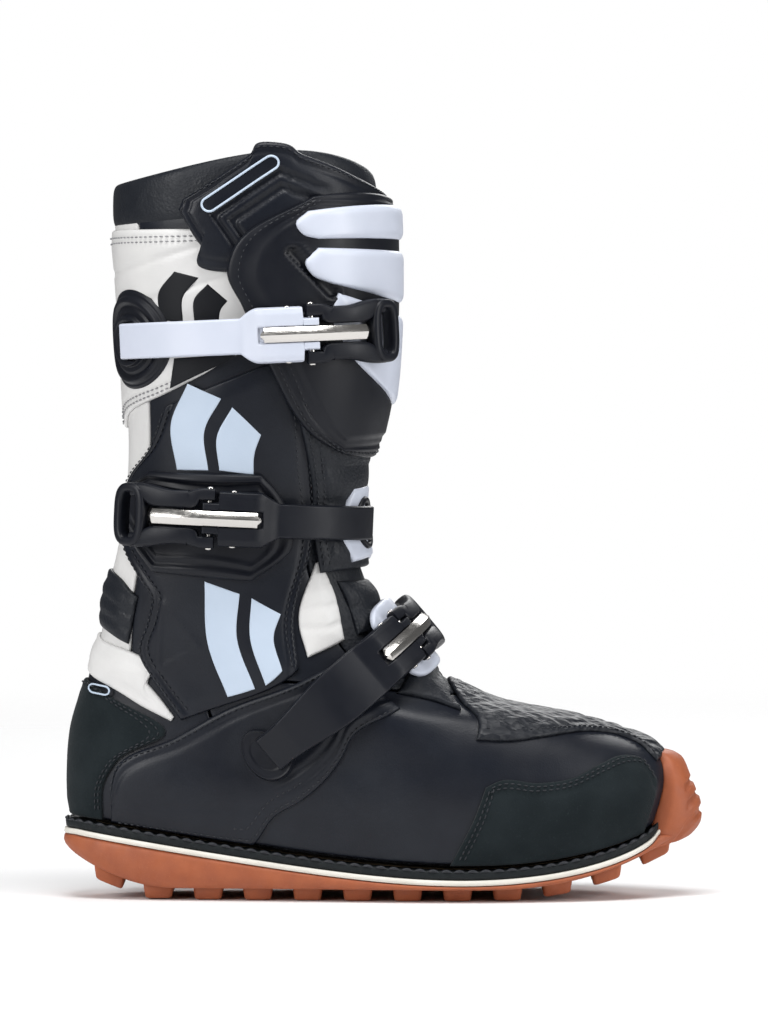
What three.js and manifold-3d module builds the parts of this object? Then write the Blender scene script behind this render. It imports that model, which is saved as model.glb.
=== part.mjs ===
// Motorcycle trials boot for the right foot, as an assembly of its cut pieces, sole parts and buckles.
// Millimetres. +X points to the toe, +Z up, and the outer side of the boot faces -Y.
// The origin is on the ground under the middle of the boot.
import * as THREE from 'three';
import { mergeVertices } from 'three/addons/utils/BufferGeometryUtils.js';
import Module from 'manifold-3d';

const wasm = await Module();
wasm.setup();

// ---------------------------------------------------------------- driving sizes
const BOOT_LENGTH = 307;         // heel of the sole to the toe bumper
const BOOT_HEIGHT = 363;         // ground to the top of the collar flap
const BOOT_WIDTH = 108;          // outsole at the ball of the foot
const PATTERN = { length: 307, height: 363, width: 108 }; // the boot size the patterns are drawn for
const PATTERN_STAND = 16.5;      // lowest point of the upper in the patterns

const LEATHER = 1.6;             // first layer: skins sewn into the shape of the boot
const OVERLAY = 1.4;             // second layer: guards and panels
const LAYER_GAP = 1.2;           // room between one layer and the next
const LINING = 2.5;
const STIFFENER = 2.0;
const FLAP_LEATHER = 1.6;
const SHIN_SHELL = 2.4;
const SEAM = 0.9;                // room between neighbours of one layer

const WELT_THICKNESS = 4.0;
const WELT_REACH = 5.0;          // how far the welt stands out of the upper
const BAND_THICKNESS = 2.6;
const SOLE_REACH = 5.8;
const PART_GAP = 0.35;           // room between stacked sole parts
const OUTSOLE_THIN = 1.8;        // outsole above the lugs, where it is thinnest
const FEATHER_DROP = LEATHER - 0.2; // from the lowest edge of the upper down to the welt
const LUG_HEIGHT = 6.0;
const LUG_PITCH = 23.8;
const LUG_LENGTH = 14.4;
const LUG_WIDTH = 23.0;
const LUG_TAPER = 0.8;

const STRAP_THICKNESS = 2.4;
const HEAD_THICKNESS = 7.0;
const HEAD_HALF_WIDTH = 13.2;
const LEVER_HALF_WIDTH = 14.2;
const FORK_HALF_GAP = 8.3;       // inside of the lever's two arms
const BAR_HALF_WIDTH = 3.5;
const PIN_RADIUS = 1.5;
const PIN_CLEARANCE = 0.35;
const DISC_RADIUS = 24.0;        // rear anchor of the upper strap
const HUB_RADIUS = 12.6;
const PIVOT_RADIUS = 12.7;       // anchor of the instep strap
const TOE_CAMBER = 5.0;          // the toe leans to the inner side

// offsets of the layers from the inner face of the first one
const SKIN_TOP = LEATHER;
const OVER_IN = SKIN_TOP + LAYER_GAP;
const OVER_TOP = OVER_IN + OVERLAY;
const FLAP_IN = OVER_TOP + 1.2;
const FLAP_TOP = FLAP_IN + FLAP_LEATHER;
const SHIN_IN = FLAP_TOP + 1.5;
const SHIN_TOP = SHIN_IN + SHIN_SHELL;

// ---------------------------------------------------------------- materials
const finish = (color, roughness, metalness = 0) => ({ color, roughness, metalness });
const BLACK_LEATHER = finish(0x14171d, 0.42);
const BLACK_SUEDE = finish(0x141b1e, 0.95);
const WHITE_LEATHER = finish(0xe9e8e6, 0.5);
const BLACK_PLASTIC = finish(0x1b1d22, 0.5);
const WHITE_PLASTIC = finish(0xdfe4ee, 0.45);
const GUM_RUBBER = finish(0xa2532f, 0.75);
const CREAM_RUBBER = finish(0xeee9df, 0.65);
const BLACK_RUBBER = finish(0x14191a, 0.8);
const STEEL = finish(0xd6d2cd, 0.22, 1);
const LINING_TEXTILE = finish(0x22252b, 0.95);
const BOARD = finish(0x8d7a60, 0.9);

// ---------------------------------------------------------------- surface of the boot
// One row per height of the last: back [x, z], front [x, z], half width, share of the half width left at
// the back, roundness of the back and of the front, and how far the middle sags below the ends.
const LAST = [
  [5.5, 39, 285, 39, 46, 0.74, 2.6, 2.9, 22.5],
  [5, 60, 289.5, 60, 52, 0.73, 2.6, 2.7, 16],
  [6.5, 80, 281, 71.5, 51, 0.72, 2.4, 2.3, 8],
  [11, 96.5, 248, 82.5, 47, 0.76, 2.2, 2.1, 2],
  [14.5, 111, 204, 92, 42, 0.84, 2.1, 2, 0],
  [19, 125, 169, 113, 39, 0.93, 2, 2, 0],
  [22, 145, 152, 133, 38, 1, 2, 2.1, 0],
  [27, 166, 140, 160, 39, 1, 2.1, 2.1, 0],
  [31, 190, 136, 186, 41, 1, 2.2, 2.2, 0],
  [32.5, 215, 140, 213, 44, 1, 2.2, 2.2, 0],
  [31.5, 242, 146, 241, 47, 1, 2.2, 2.2, 0],
  [30, 270, 148.5, 270, 49, 1, 2.2, 2.2, 0],
  [28, 300, 149, 300, 50, 1, 2.2, 2.2, 0],
  [26, 323, 148.5, 326, 50, 1, 2.2, 2.2, -4],
  [26, 341, 147, 346, 49, 1, 2.2, 2.2, -12],
  [26, 357, 145.5, 362, 48, 1, 2.2, 2.2, -14],
];
const LATERAL = 1;
const MEDIAL = -1;
const lerp = THREE.MathUtils.lerp;
const clamp = THREE.MathUtils.clamp;
// The upper stands on the stack of sole parts, and the rest of the height is graded.
const STAND = LUG_HEIGHT + OUTSOLE_THIN + BAND_THICKNESS + WELT_THICKNESS + 2 * PART_GAP + FEATHER_DROP;
const grade = {
  x: BOOT_LENGTH / PATTERN.length,
  y: BOOT_WIDTH / PATTERN.width,
  z: (BOOT_HEIGHT - STAND) / (PATTERN.height - PATTERN_STAND),
};
const gradedHeight = (z) => STAND + (z - PATTERN_STAND) * grade.z;

// A row of the last at the height number v, by Catmull-Rom between the rows.
function lastRow(v) {
  const end = LAST.length - 1;
  if (v < 0) return LAST[0].map((value, c) => value + v * (LAST[1][c] - value));
  const i = clamp(Math.floor(v), 0, end - 1);
  const t = v - i;
  const row = (k) => LAST[clamp(k, 0, end)];
  return LAST[i].map((_, c) => {
    const b = row(i)[c];
    const d = row(i + 1)[c];
    const a = i > 0 ? row(i - 1)[c] : 2 * b - d;
    const e = i + 2 <= end ? row(i + 2)[c] : 2 * d - b;
    const slope = (d - a) / 2;
    const slopeNext = (e - b) / 2;
    const t2 = t * t;
    const t3 = t2 * t;
    return b * (2 * t3 - 3 * t2 + 1) + slope * (t3 - 2 * t2 + t) + d * (3 * t2 - 2 * t3) + slopeNext * (t3 - t2);
  });
}

// Pattern point at (u, v): u runs 0 at the back, +1 at the front by the outer side, -1 by the inner side.
function patternPoint(u, v) {
  const round = u > 1 ? u - 2 : u < -1 ? u + 2 : u;
  const [backX, backZ, frontX, frontZ, half, share, backRound, frontRound, sag] = lastRow(v);
  const s = (1 - Math.cos(Math.PI * Math.abs(round))) / 2;
  const p = s < 0.5 ? backRound : frontRound;
  const girth = Math.pow(Math.max(0, 1 - Math.pow(Math.abs(2 * s - 1), p)), 1 / p);
  const widen = share + (1 - share) * THREE.MathUtils.smoothstep(s, 0.25, 0.7);
  const camber = TOE_CAMBER * s * s * clamp(1 - v / 5, 0, 1);
  const dip = sag * Math.pow(Math.max(0, Math.sin(Math.PI * Math.pow(s, 1.7))), 0.6);
  const y = -Math.sign(round) * half * girth * widen + camber;
  return new THREE.Vector3(lerp(backX, frontX, s), y, lerp(backZ, frontZ, s) - dip);
}

function gradedPoint(u, v) {
  const p = patternPoint(u, v);
  return p.set(p.x * grade.x, p.y * grade.y, gradedHeight(p.z));
}

// Point of the boot at (u, v), moved out along the surface by `offset`.
function bootPoint(u, v, offset = 0) {
  const p = gradedPoint(u, v);
  if (offset === 0) return p;
  const alongU = gradedPoint(u + 1e-3, v).sub(gradedPoint(u - 1e-3, v));
  const alongV = gradedPoint(u, v + 1e-2).sub(gradedPoint(u, v - 1e-2));
  const normal = alongV.cross(alongU).normalize();
  return p.addScaledVector(normal, -offset);
}

// (u, v) of a pattern position seen from the side: x and z, on the outer or the inner face.
function locate([x, z], side = LATERAL) {
  let low = -0.5;
  let high = LAST.length - 1;
  let u = 0;
  for (let k = 0; k < 40; k++) {
    const v = (low + high) / 2;
    const [backX, , frontX] = lastRow(v);
    const s = clamp((x - backX) / (frontX - backX), 0, 1);
    u = Math.acos(1 - 2 * s) / Math.PI;
    if (patternPoint(u, v).z < z) low = v;
    else high = v;
  }
  return [side * u, low];
}

// ---------------------------------------------------------------- solids on the surface
function geometryOf(points, triangles) {
  const geometry = new THREE.BufferGeometry();
  geometry.setAttribute('position', new THREE.Float32BufferAttribute(points.flatMap((p) => [p.x, p.y, p.z]), 3));
  geometry.setIndex(triangles);
  if (volumeOf(points, triangles) < 0) geometry.setIndex(triangles.toReversed());
  geometry.computeVertexNormals();
  return geometry;
}

function volumeOf(points, triangles) {
  let sum = 0;
  for (let k = 0; k < triangles.length; k += 3) {
    const [a, b, c] = [0, 1, 2].map((n) => points[triangles[k + n]]);
    sum += a.dot(b.clone().cross(c));
  }
  return sum;
}

// Closed body between two sheets of the same grid. Each sheet is an array of columns of points.
function betweenSheets(inner, outer, closed = false) {
  const columns = inner.length;
  const rows = inner[0].length;
  const points = [...inner.flat(), ...outer.flat()];
  const at = (sheet, i, j) => sheet * columns * rows + (i % columns) * rows + j;
  const triangles = [];
  const quad = (a, b, c, d) => triangles.push(a, b, c, a, c, d);
  const last = closed ? columns : columns - 1;
  for (let i = 0; i < last; i++) {
    for (let j = 0; j < rows - 1; j++) {
      quad(at(1, i, j), at(1, i + 1, j), at(1, i + 1, j + 1), at(1, i, j + 1));
      quad(at(0, i, j), at(0, i, j + 1), at(0, i + 1, j + 1), at(0, i + 1, j));
    }
    quad(at(0, i, 0), at(0, i + 1, 0), at(1, i + 1, 0), at(1, i, 0));
    quad(at(0, i, rows - 1), at(1, i, rows - 1), at(1, i + 1, rows - 1), at(0, i + 1, rows - 1));
  }
  for (let j = 0; j < rows - 1 && !closed; j++) {
    quad(at(0, 0, j), at(1, 0, j), at(1, 0, j + 1), at(0, 0, j + 1));
    quad(at(0, columns - 1, j), at(0, columns - 1, j + 1), at(1, columns - 1, j + 1), at(1, columns - 1, j));
  }
  return geometryOf(points, triangles);
}

// Leather between the offsets `inner` and `outer` over a grid of (u, v) positions.
function slab(grid, inner, outer, closed = false) {
  const sheet = (offset) => grid.map((column, i) => column.map(([u, v], j) => {
    const height = typeof offset === 'function' ? offset(i / (grid.length - 1), j / (column.length - 1)) : offset;
    return bootPoint(u, v, height);
  }));
  return betweenSheets(sheet(inner), sheet(outer), closed);
}

// Grid over a plain range of u and v.
function rangeGrid(u0, u1, v0, v1, columns, rows, closed = false) {
  const steps = closed ? columns : columns + 1;
  return Array.from({ length: steps }, (_, i) => Array.from({ length: rows + 1 }, (_, j) => (
    [lerp(u0, u1, i / columns), lerp(v0, v1, j / rows)]
  )));
}

// A rail is a list of (u, v) positions; this gives `count` + 1 positions evenly along it.
function spread(rail, count) {
  const spots = rail.map(([u, v]) => patternPoint(u, v));
  const reach = [0];
  for (let k = 1; k < spots.length; k++) reach.push(reach[k - 1] + spots[k].distanceTo(spots[k - 1]));
  const total = reach.at(-1);
  return Array.from({ length: count + 1 }, (_, n) => {
    const goal = (total * n) / count;
    let k = 1;
    while (k < reach.length - 1 && reach[k] < goal) k++;
    const t = clamp((goal - reach[k - 1]) / (reach[k] - reach[k - 1]), 0, 1);
    return [lerp(rail[k - 1][0], rail[k][0], t), lerp(rail[k - 1][1], rail[k][1], t)];
  });
}

// Grid ruled across two or more rails, `along` steps down each rail and `across` steps from rail to rail.
function railGrid(rails, along, across) {
  const even = rails.map((rail) => spread(rail, along));
  const grid = [];
  for (let r = 0; r < even.length - 1; r++) {
    for (let k = r === 0 ? 0 : 1; k <= across; k++) {
      grid.push(even[r].map(([u, v], j) => [
        lerp(u, even[r + 1][j][0], k / across), lerp(v, even[r + 1][j][1], k / across),
      ]));
    }
  }
  return grid;
}

const LOWEST_EDGE = 0.09;        // a panel's foot stays this far, in rows of the last, above the welt
const rail = (points, side = LATERAL) => points.map((p) => locate(p, side))
  .map(([u, v]) => [u, Math.max(v, LOWEST_EDGE)]);
// The same rail on the inner side, numbered on past the front so that a piece can cross the toe.
const overFront = (points) => points.map((p) => locate(p)).map(([u, v]) => [2 - u, v]);
const centreRail = (heights) => heights.map((v) => [1, v]);
const backRail = (heights) => heights.map((v) => [0, v]);

// Round patch that follows the surface, with its centre at (u, v).
function roundPatch([u, v], radius, inner, outer, sides = 20) {
  const scaleU = bootPoint(u + 0.01, v).distanceTo(bootPoint(u - 0.01, v)) / 0.02;
  const scaleV = bootPoint(u, v + 0.05).distanceTo(bootPoint(u, v - 0.05)) / 0.1;
  const rings = [0.02, 0.55, 1].map((share) => share * radius);
  const sheet = (offset) => Array.from({ length: sides }, (_, i) => {
    const angle = (2 * Math.PI * i) / sides;
    return rings.map((r) => bootPoint(u + (r * Math.cos(angle)) / scaleU, v + (r * Math.sin(angle)) / scaleV, offset));
  });
  const low = sheet(inner);
  const high = sheet(outer);
  const points = [...low.flat(), ...high.flat(), bootPoint(u, v, inner), bootPoint(u, v, outer)];
  const count = rings.length;
  const at = (layer, i, j) => layer * sides * count + (i % sides) * count + j;
  const hubs = [points.length - 2, points.length - 1];
  const triangles = [];
  const quad = (a, b, c, d) => triangles.push(a, b, c, a, c, d);
  for (let i = 0; i < sides; i++) {
    for (let j = 0; j < count - 1; j++) {
      quad(at(1, i, j), at(1, i, j + 1), at(1, i + 1, j + 1), at(1, i + 1, j));
      quad(at(0, i, j), at(0, i + 1, j), at(0, i + 1, j + 1), at(0, i, j + 1));
    }
    triangles.push(hubs[1], at(1, i, 0), at(1, i + 1, 0));
    triangles.push(hubs[0], at(0, i + 1, 0), at(0, i, 0));
    quad(at(0, i, count - 1), at(0, i + 1, count - 1), at(1, i + 1, count - 1), at(1, i, count - 1));
  }
  return geometryOf(points, triangles);
}

// ---------------------------------------------------------------- scene helpers
const boot = new THREE.Group();

function addPart(name, geometry, { color, roughness, metalness }, parent = boot) {
  const mesh = new THREE.Mesh(geometry, new THREE.MeshStandardMaterial({ color, roughness, metalness }));
  mesh.name = name;
  parent.add(mesh);
  return mesh;
}

function toSolid(geometry) {
  const bare = geometry.clone();
  bare.deleteAttribute('normal');
  bare.deleteAttribute('uv');
  const merged = mergeVertices(bare, 1e-4);
  return new wasm.Manifold(new wasm.Mesh({
    numProp: 3,
    vertProperties: new Float32Array(merged.attributes.position.array),
    triVerts: new Uint32Array(merged.index.array),
  }));
}

function fromSolid(solid) {
  const { vertProperties, triVerts } = solid.getMesh();
  const geometry = new THREE.BufferGeometry();
  geometry.setAttribute('position', new THREE.BufferAttribute(vertProperties, 3));
  geometry.setIndex(new THREE.BufferAttribute(triVerts, 1));
  geometry.computeVertexNormals();
  return geometry;
}

// ---------------------------------------------------------------- sole
const SOLE_STEPS = 22;           // points along one side of a sole part
const FAR = 60;                  // reach of a cutting body past what it cuts

// Height of the underside of the outsole: flat under the foot, rising to the heel and to the toe.
function soleBottom(x) {
  const drawn = x / grade.x;
  const heelRise = 18.5 * Math.pow(clamp((53 - drawn) / 53, 0, 1), 1.9);
  const toeRise = 32 * Math.pow(clamp((drawn - 200) / 107, 0, 1), 2.3);
  return LUG_HEIGHT + (heelRise + toeRise) * grade.z;
}

// Height of the lowest edge of the upper at x.
function featherHeight(x) {
  const [backX, backZ, frontX, frontZ, , , , , sag] = LAST[0];
  const s = clamp((x / grade.x - backX) / (frontX - backX), 0, 1);
  const dip = sag * Math.pow(Math.max(0, Math.sin(Math.PI * Math.pow(s, 1.7))), 0.6);
  return gradedHeight(lerp(backZ, frontZ, s) - dip);
}

// Ring of points round the sole: the lowest edge of the upper moved out level by `reachOf(|u|)`.
function soleRing(reachOf, heightOf = () => 0) {
  return Array.from({ length: 2 * SOLE_STEPS }, (_, k) => {
    const u = (k < SOLE_STEPS ? k : k - 2 * SOLE_STEPS) / SOLE_STEPS;
    const p = gradedPoint(u, 0);
    const along = gradedPoint(u + 1e-3, 0).sub(gradedPoint(u - 1e-3, 0));
    const out = new THREE.Vector3(-along.y, along.x, 0).normalize();
    p.addScaledVector(out, -reachOf(Math.abs(u)));
    return p.setZ(heightOf(p.x));
  });
}

// Closed body through rings of equal count, with ladder-like ends.
function loft(rings) {
  const count = rings[0].length;
  const points = rings.flat();
  const triangles = [];
  for (let r = 0; r < rings.length - 1; r++) {
    for (let k = 0; k < count; k++) {
      const next = (k + 1) % count;
      const [a, b, c, d] = [r * count + k, r * count + next, (r + 1) * count + next, (r + 1) * count + k];
      triangles.push(a, b, c, a, c, d);
    }
  }
  const ladder = (start, flip) => {
    for (let k = 0; k < count / 2; k++) {
      const corners = [k, k + 1, count - k - 1, (count - k) % count].map((n) => start + n);
      const faces = [[corners[0], corners[1], corners[2]], [corners[0], corners[2], corners[3]]];
      faces.filter((face) => new Set(face).size === 3)
        .forEach((face) => triangles.push(...(flip ? face : face.toReversed())));
    }
  };
  ladder(0, false);
  ladder((rings.length - 1) * count, true);
  return geometryOf(points, triangles);
}

// Upright body over the sole's outline at one reach.
function outlinePrism(reach) {
  const ring = (z) => soleRing(() => reach, () => z);
  return toSolid(loft([ring(-FAR), ring(4 * FAR)]));
}

// Body right across the sole between two heights that depend on x.
function sideProfile(topOf, bottomOf) {
  const stations = [-FAR];
  for (let k = 0; k <= SOLE_STEPS; k++) stations.push(gradedPoint(k / SOLE_STEPS, 0).x);
  stations.push(BOOT_LENGTH + FAR);
  const corners = [...stations.map((x) => [x, topOf(x)]), ...stations.toReversed().map((x) => [x, bottomOf(x)])];
  const shape = new THREE.Shape(corners.map(([x, z]) => new THREE.Vector2(x, z)));
  const slice = new THREE.ExtrudeGeometry(shape, { depth: 4 * FAR, bevelEnabled: false });
  slice.rotateX(Math.PI / 2);
  slice.translate(0, 2 * FAR, 0);
  return toSolid(slice);
}

const soleLayer = (reach, topOf, bottomOf) => outlinePrism(reach).intersect(sideProfile(topOf, bottomOf));

const SHANK_THICKNESS = 1.5;
const BOARD_THICKNESS = 1.7;
const BOARD_REACH = -9.5;        // edge of the insole board, inside the upper
const FOOTBED_THICKNESS = 4.0;
const FOOTBED_REACH = -10.0;
const weltTop = (x) => featherHeight(x) - FEATHER_DROP;
const boardBottom = (x) => weltTop(x) - BOARD_THICKNESS;
const shankTop = (x) => boardBottom(x) - PART_GAP;
const weltBottom = (x) => weltTop(x) - WELT_THICKNESS;
const bandTop = (x) => weltBottom(x) - PART_GAP;
const bandBottom = (x) => bandTop(x) - BAND_THICKNESS;
const outsoleTop = (x) => bandBottom(x) - PART_GAP;

// Breadth limits of a ring at x: the y of its outer and of its inner edge.
function ringEdges(ring, x) {
  const crossings = ring.map((p, k) => [p, ring[(k + 1) % ring.length]])
    .filter(([p, q]) => (p.x - x) * (q.x - x) <= 0 && p.x !== q.x)
    .map(([p, q]) => lerp(p.y, q.y, (x - p.x) / (q.x - p.x)));
  return [Math.min(...crossings), Math.max(...crossings)];
}

const LEVEL_SLOPE = 0.14;        // a lug on a gentler slope than this stands level
// One lug: a block that narrows downwards, rooted inside the sole and sheared to its slope.
function lug(x, y, width) {
  const root = 2.2;
  const block = new THREE.BoxGeometry(LUG_LENGTH, width, LUG_HEIGHT + root);
  const position = block.attributes.position;
  const rise = clamp((soleBottom(x + 5) - soleBottom(x - 5)) / 10, -0.5, 0.8);
  const slope = Math.abs(rise) < LEVEL_SLOPE ? 0 : rise;
  for (let k = 0; k < position.count; k++) {
    const low = position.getZ(k) < 0;
    const along = position.getX(k) * (low ? LUG_TAPER : 1);
    const across = position.getY(k) * (low ? 0.9 : 1);
    position.setXYZ(k, along, across, (low ? 0 : LUG_HEIGHT + root) + slope * along);
  }
  block.translate(x, y, soleBottom(x) - LUG_HEIGHT);
  return toSolid(block);
}

function lugs(ring) {
  const solids = [];
  const first = 22 * grade.x;
  const last = BOOT_LENGTH - 20 * grade.x;
  for (let x = first; x < last; x += LUG_PITCH) {
    const [outer, inner] = ringEdges(ring, x);
    const room = (inner - outer - 6) / 3;
    const width = Math.min(LUG_WIDTH, room - 4);
    [0.5, 1.5, 2.5].forEach((n) => solids.push(lug(x, outer + 3 + n * room, width)));
  }
  return solids;
}

const BUMPER_SPAN = 0.075;       // share of the outline, each side of the toe, that the bumper covers
const BUMPER_FOOT = -0.8;        // rows of the last where the bumper starts and ends
const BUMPER_HEAD = 1.75;
const BUMPER_REACH = [[-0.8, 4], [-0.4, 14], [-0.1, 21], [0.2, 20.8], [1, 10], [1.75, 5.4]];
// How far the bumper stands out of the toe: furthest at the height of the sole, less above and below it.
function bumperOuter(across, up) {
  const v = lerp(BUMPER_FOOT, BUMPER_HEAD, up);
  const next = BUMPER_REACH.findIndex(([height]) => height >= v - 1e-9);
  const [v0, low] = BUMPER_REACH[Math.max(0, next - 1)];
  const [v1, high] = BUMPER_REACH[Math.max(1, next)];
  const reach = lerp(low, high, clamp((v - v0) / (v1 - v0), 0, 1));
  const crown = Math.max(0.25, 1 - Math.pow(Math.abs(2 * across - 1), 2.5));
  const least = OVER_IN + 0.9;
  return least + (reach - least) * crown;
}

function buildOutsole() {
  const reach = (u) => SOLE_REACH + 9 * THREE.MathUtils.smoothstep(u, 0.88, 1);
  const edge = (x) => lerp(outsoleTop(x), soleBottom(x), 0.6);
  const rings = [soleRing(reach, () => 2 * FAR), soleRing(reach, edge), soleRing((u) => reach(u) - 3.2, soleBottom)];
  let solid = toSolid(loft(rings)).intersect(sideProfile(outsoleTop, () => -FAR));
  lugs(rings[2]).forEach((block) => { solid = solid.add(block); });
  const bumperGrid = rangeGrid(1 - BUMPER_SPAN, 1 + BUMPER_SPAN, BUMPER_FOOT, BUMPER_HEAD, 8, 8);
  const cavity = soleLayer(WELT_REACH + 1.2, (x) => weltTop(x) + PART_GAP, outsoleTop);
  return solid.add(toSolid(slab(bumperGrid, OVER_IN, bumperOuter))).subtract(cavity);
}

const WELT_INSIDE = BOARD_REACH + 0.6;
const shankBar = new THREE.BoxGeometry(105 * grade.x, 22, 4 * FAR);
shankBar.translate(108 * grade.x, 0, 0);

addPart('outsole', fromSolid(buildOutsole()), GUM_RUBBER);
addPart('midsole_band', fromSolid(soleLayer(WELT_REACH + 0.7, bandTop, bandBottom)), CREAM_RUBBER);
addPart('welt', fromSolid(soleLayer(WELT_REACH, weltTop, weltBottom).subtract(outlinePrism(WELT_INSIDE))),
  BLACK_RUBBER);
addPart('insole_board', fromSolid(soleLayer(BOARD_REACH, weltTop, boardBottom)), BOARD);
addPart('shank', fromSolid(toSolid(shankBar).intersect(sideProfile(shankTop, (x) => shankTop(x) - SHANK_THICKNESS))),
  STEEL);
addPart('footbed', fromSolid(soleLayer(FOOTBED_REACH, (x) => featherHeight(x) + FOOTBED_THICKNESS, featherHeight)),
  LINING_TEXTILE);

// ---------------------------------------------------------------- lining, stiffeners and skins
const LINING_IN = -7.0;
const LINING_TOP = LINING_IN + LINING;
const STIFFENER_IN = -3.4;
const BACK_SEAM = 0.42;          // where the heel quarter meets the vamp
const SHAFT_FOOT = 4.28;         // where the shaft skins stand on the foot skins
const SHAFT_HEAD = 13.0;         // where the padded collar starts
const REAR_SEAM = 0.2;
const TONGUE_SEAM = 0.7;

addPart('lining', slab(rangeGrid(-1, 1, 0.1, 12.9, 14, 12, true), LINING_IN, LINING_TOP, true), LINING_TEXTILE);
addPart('toe_box', slab(rangeGrid(0.76, 1.24, 0.15, 2.3, 10, 4), STIFFENER_IN, STIFFENER_IN + STIFFENER), BOARD);
addPart('heel_counter', slab(rangeGrid(-0.3, 0.3, 0.15, 3.2, 8, 4), STIFFENER_IN, STIFFENER_IN + STIFFENER), BOARD);

const FOOT_GIRTH = 660;          // length of one turn of u round the foot and round the shaft
const SHAFT_GIRTH = 310;
function addSkin(name, from, to, low, high, columns, rows, colours) {
  const gap = SEAM / (low < 1 ? FOOT_GIRTH : SHAFT_GIRTH);
  addPart(name, slab(rangeGrid(from + gap, to - gap, low, high, columns, rows), 0, LEATHER), colours);
}
addSkin('heel_quarter', -BACK_SEAM, BACK_SEAM, 0.09, 4.2, 12, 5, BLACK_LEATHER);
addSkin('vamp', BACK_SEAM, 2 - BACK_SEAM, 0.09, 4.2, 22, 7, BLACK_LEATHER);
addSkin('shaft_rear', -REAR_SEAM, REAR_SEAM, SHAFT_FOOT, SHAFT_HEAD, 6, 10, WHITE_LEATHER);
addSkin('shaft_outer', REAR_SEAM, TONGUE_SEAM, SHAFT_FOOT, SHAFT_HEAD, 5, 10, BLACK_LEATHER);
addSkin('shaft_inner', -TONGUE_SEAM, -REAR_SEAM, SHAFT_FOOT, SHAFT_HEAD, 5, 10, BLACK_LEATHER);
addSkin('tongue', TONGUE_SEAM, 2 - TONGUE_SEAM, SHAFT_FOOT, SHAFT_HEAD, 6, 12, BLACK_LEATHER);

// Padded ring round the opening: the leather rolls over a foam core.
function buildCollar() {
  const section = [[-6.6, 13.1], [-7.2, 13.6], [-4, 14.0], [0, 14.05], [3.2, 13.75], [3.4, 13.15], [0, 13.06]];
  const columns = 24;
  const rings = Array.from({ length: columns }, (_, i) => (
    section.map(([offset, v]) => bootPoint(-1 + (2 * i) / columns, v, offset))
  ));
  const count = section.length;
  const triangles = [];
  for (let i = 0; i < columns; i++) {
    for (let j = 0; j < count; j++) {
      const [a, b] = [i * count + j, i * count + ((j + 1) % count)];
      const [c, d] = [((i + 1) % columns) * count + ((j + 1) % count), ((i + 1) % columns) * count + j];
      triangles.push(a, b, c, a, c, d);
    }
  }
  return geometryOf(rings.flat(), triangles);
}
addPart('collar', buildCollar(), BLACK_LEATHER);

// ---------------------------------------------------------------- guards and panels on the boot
const bothSides = [['outer', LATERAL], ['inner', MEDIAL]];
const OUTER_TOE_GUARD = [
  [[185, 18], [215, 18.5], [240, 21], [260, 25], [276, 31.5]],
  [[201.6, 55], [208, 58], [226.6, 56.6], [242.4, 58.6], [265, 67], [280, 63]],
];
const ANKLE_LOW = [[24, 37], [58, 29.5], [90.7, 26.5], [101.8, 40.8], [114.7, 48.5], [124.8, 57], [133.4, 68], [139, 79],
  [161, 91]];
const ANKLE_TOP = [[24, 50], [26, 62], [54.7, 78], [79.7, 92], [112.8, 104.5], [137, 116]];
const QUARTER_REAR = [[57, 86], [46.5, 101.5], [37.5, 118], [42, 134], [43.5, 145], [39.2, 152], [31.8, 167], [30.5, 177],
  [35, 202], [43.5, 215], [51, 236]];
const QUARTER_FRONT = [[113, 110.5], [110.5, 133], [118, 171.4], [117.6, 219.8], [112, 262]];
const CALF_LOW = [[100, 268], [84, 260.5], [66.2, 250], [50, 241.5], [32.5, 229.5]];
const CALF_HIGH = [[100, 318], [70, 317], [48, 317], [32, 317]];
const ACHILLES_LOW = [[52.5, 85.5], [40, 91.5], [23, 101.5], [14, 108]];
const ACHILLES_HIGH = [[54, 87.5], [42, 103], [32.5, 119], [19, 126]];
const GUSSET_LOW = [[32.5, 122], [20.5, 129]];
const GUSSET_HIGH = [[37.5, 145], [25.5, 156]];
const SIDE_GUSSET = [[[120, 161], [112.5, 134], [117, 116]], [[122, 162], [129, 146], [134, 124]]];
const overlay = (grid) => slab(grid, OVER_IN, OVER_TOP);
const CUSHION_LIFT = 0.6;        // padded pieces over the tight bend of the instep sit a little higher
const cushion = (grid) => slab(grid, OVER_IN + CUSHION_LIFT, OVER_TOP + CUSHION_LIFT);
// A rail that runs from the outer side round the back to the inner side.
const roundBack = (points, backHeight) => [
  ...rail(points), ...backRail([locate([0, backHeight])[1]]), ...rail(points, MEDIAL).toReversed(),
];

for (const [sideName, side] of bothSides) {
  const sideRails = (rails) => rails.map((points) => rail(points, side));
  addPart(`toe_guard_${sideName}`, overlay(railGrid(sideRails(OUTER_TOE_GUARD), 8, 4)), BLACK_SUEDE);
  addPart(`ankle_panel_${sideName}`, overlay(railGrid(sideRails([ANKLE_LOW, ANKLE_TOP]), 14, 4)), BLACK_LEATHER);
  addPart(`quarter_${sideName}`, overlay(railGrid(sideRails([QUARTER_REAR, QUARTER_FRONT]), 10, 9)), BLACK_LEATHER);
  addPart(`side_gusset_${sideName}`, overlay(railGrid(sideRails(SIDE_GUSSET), 4, 2)), WHITE_LEATHER);
}

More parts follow.
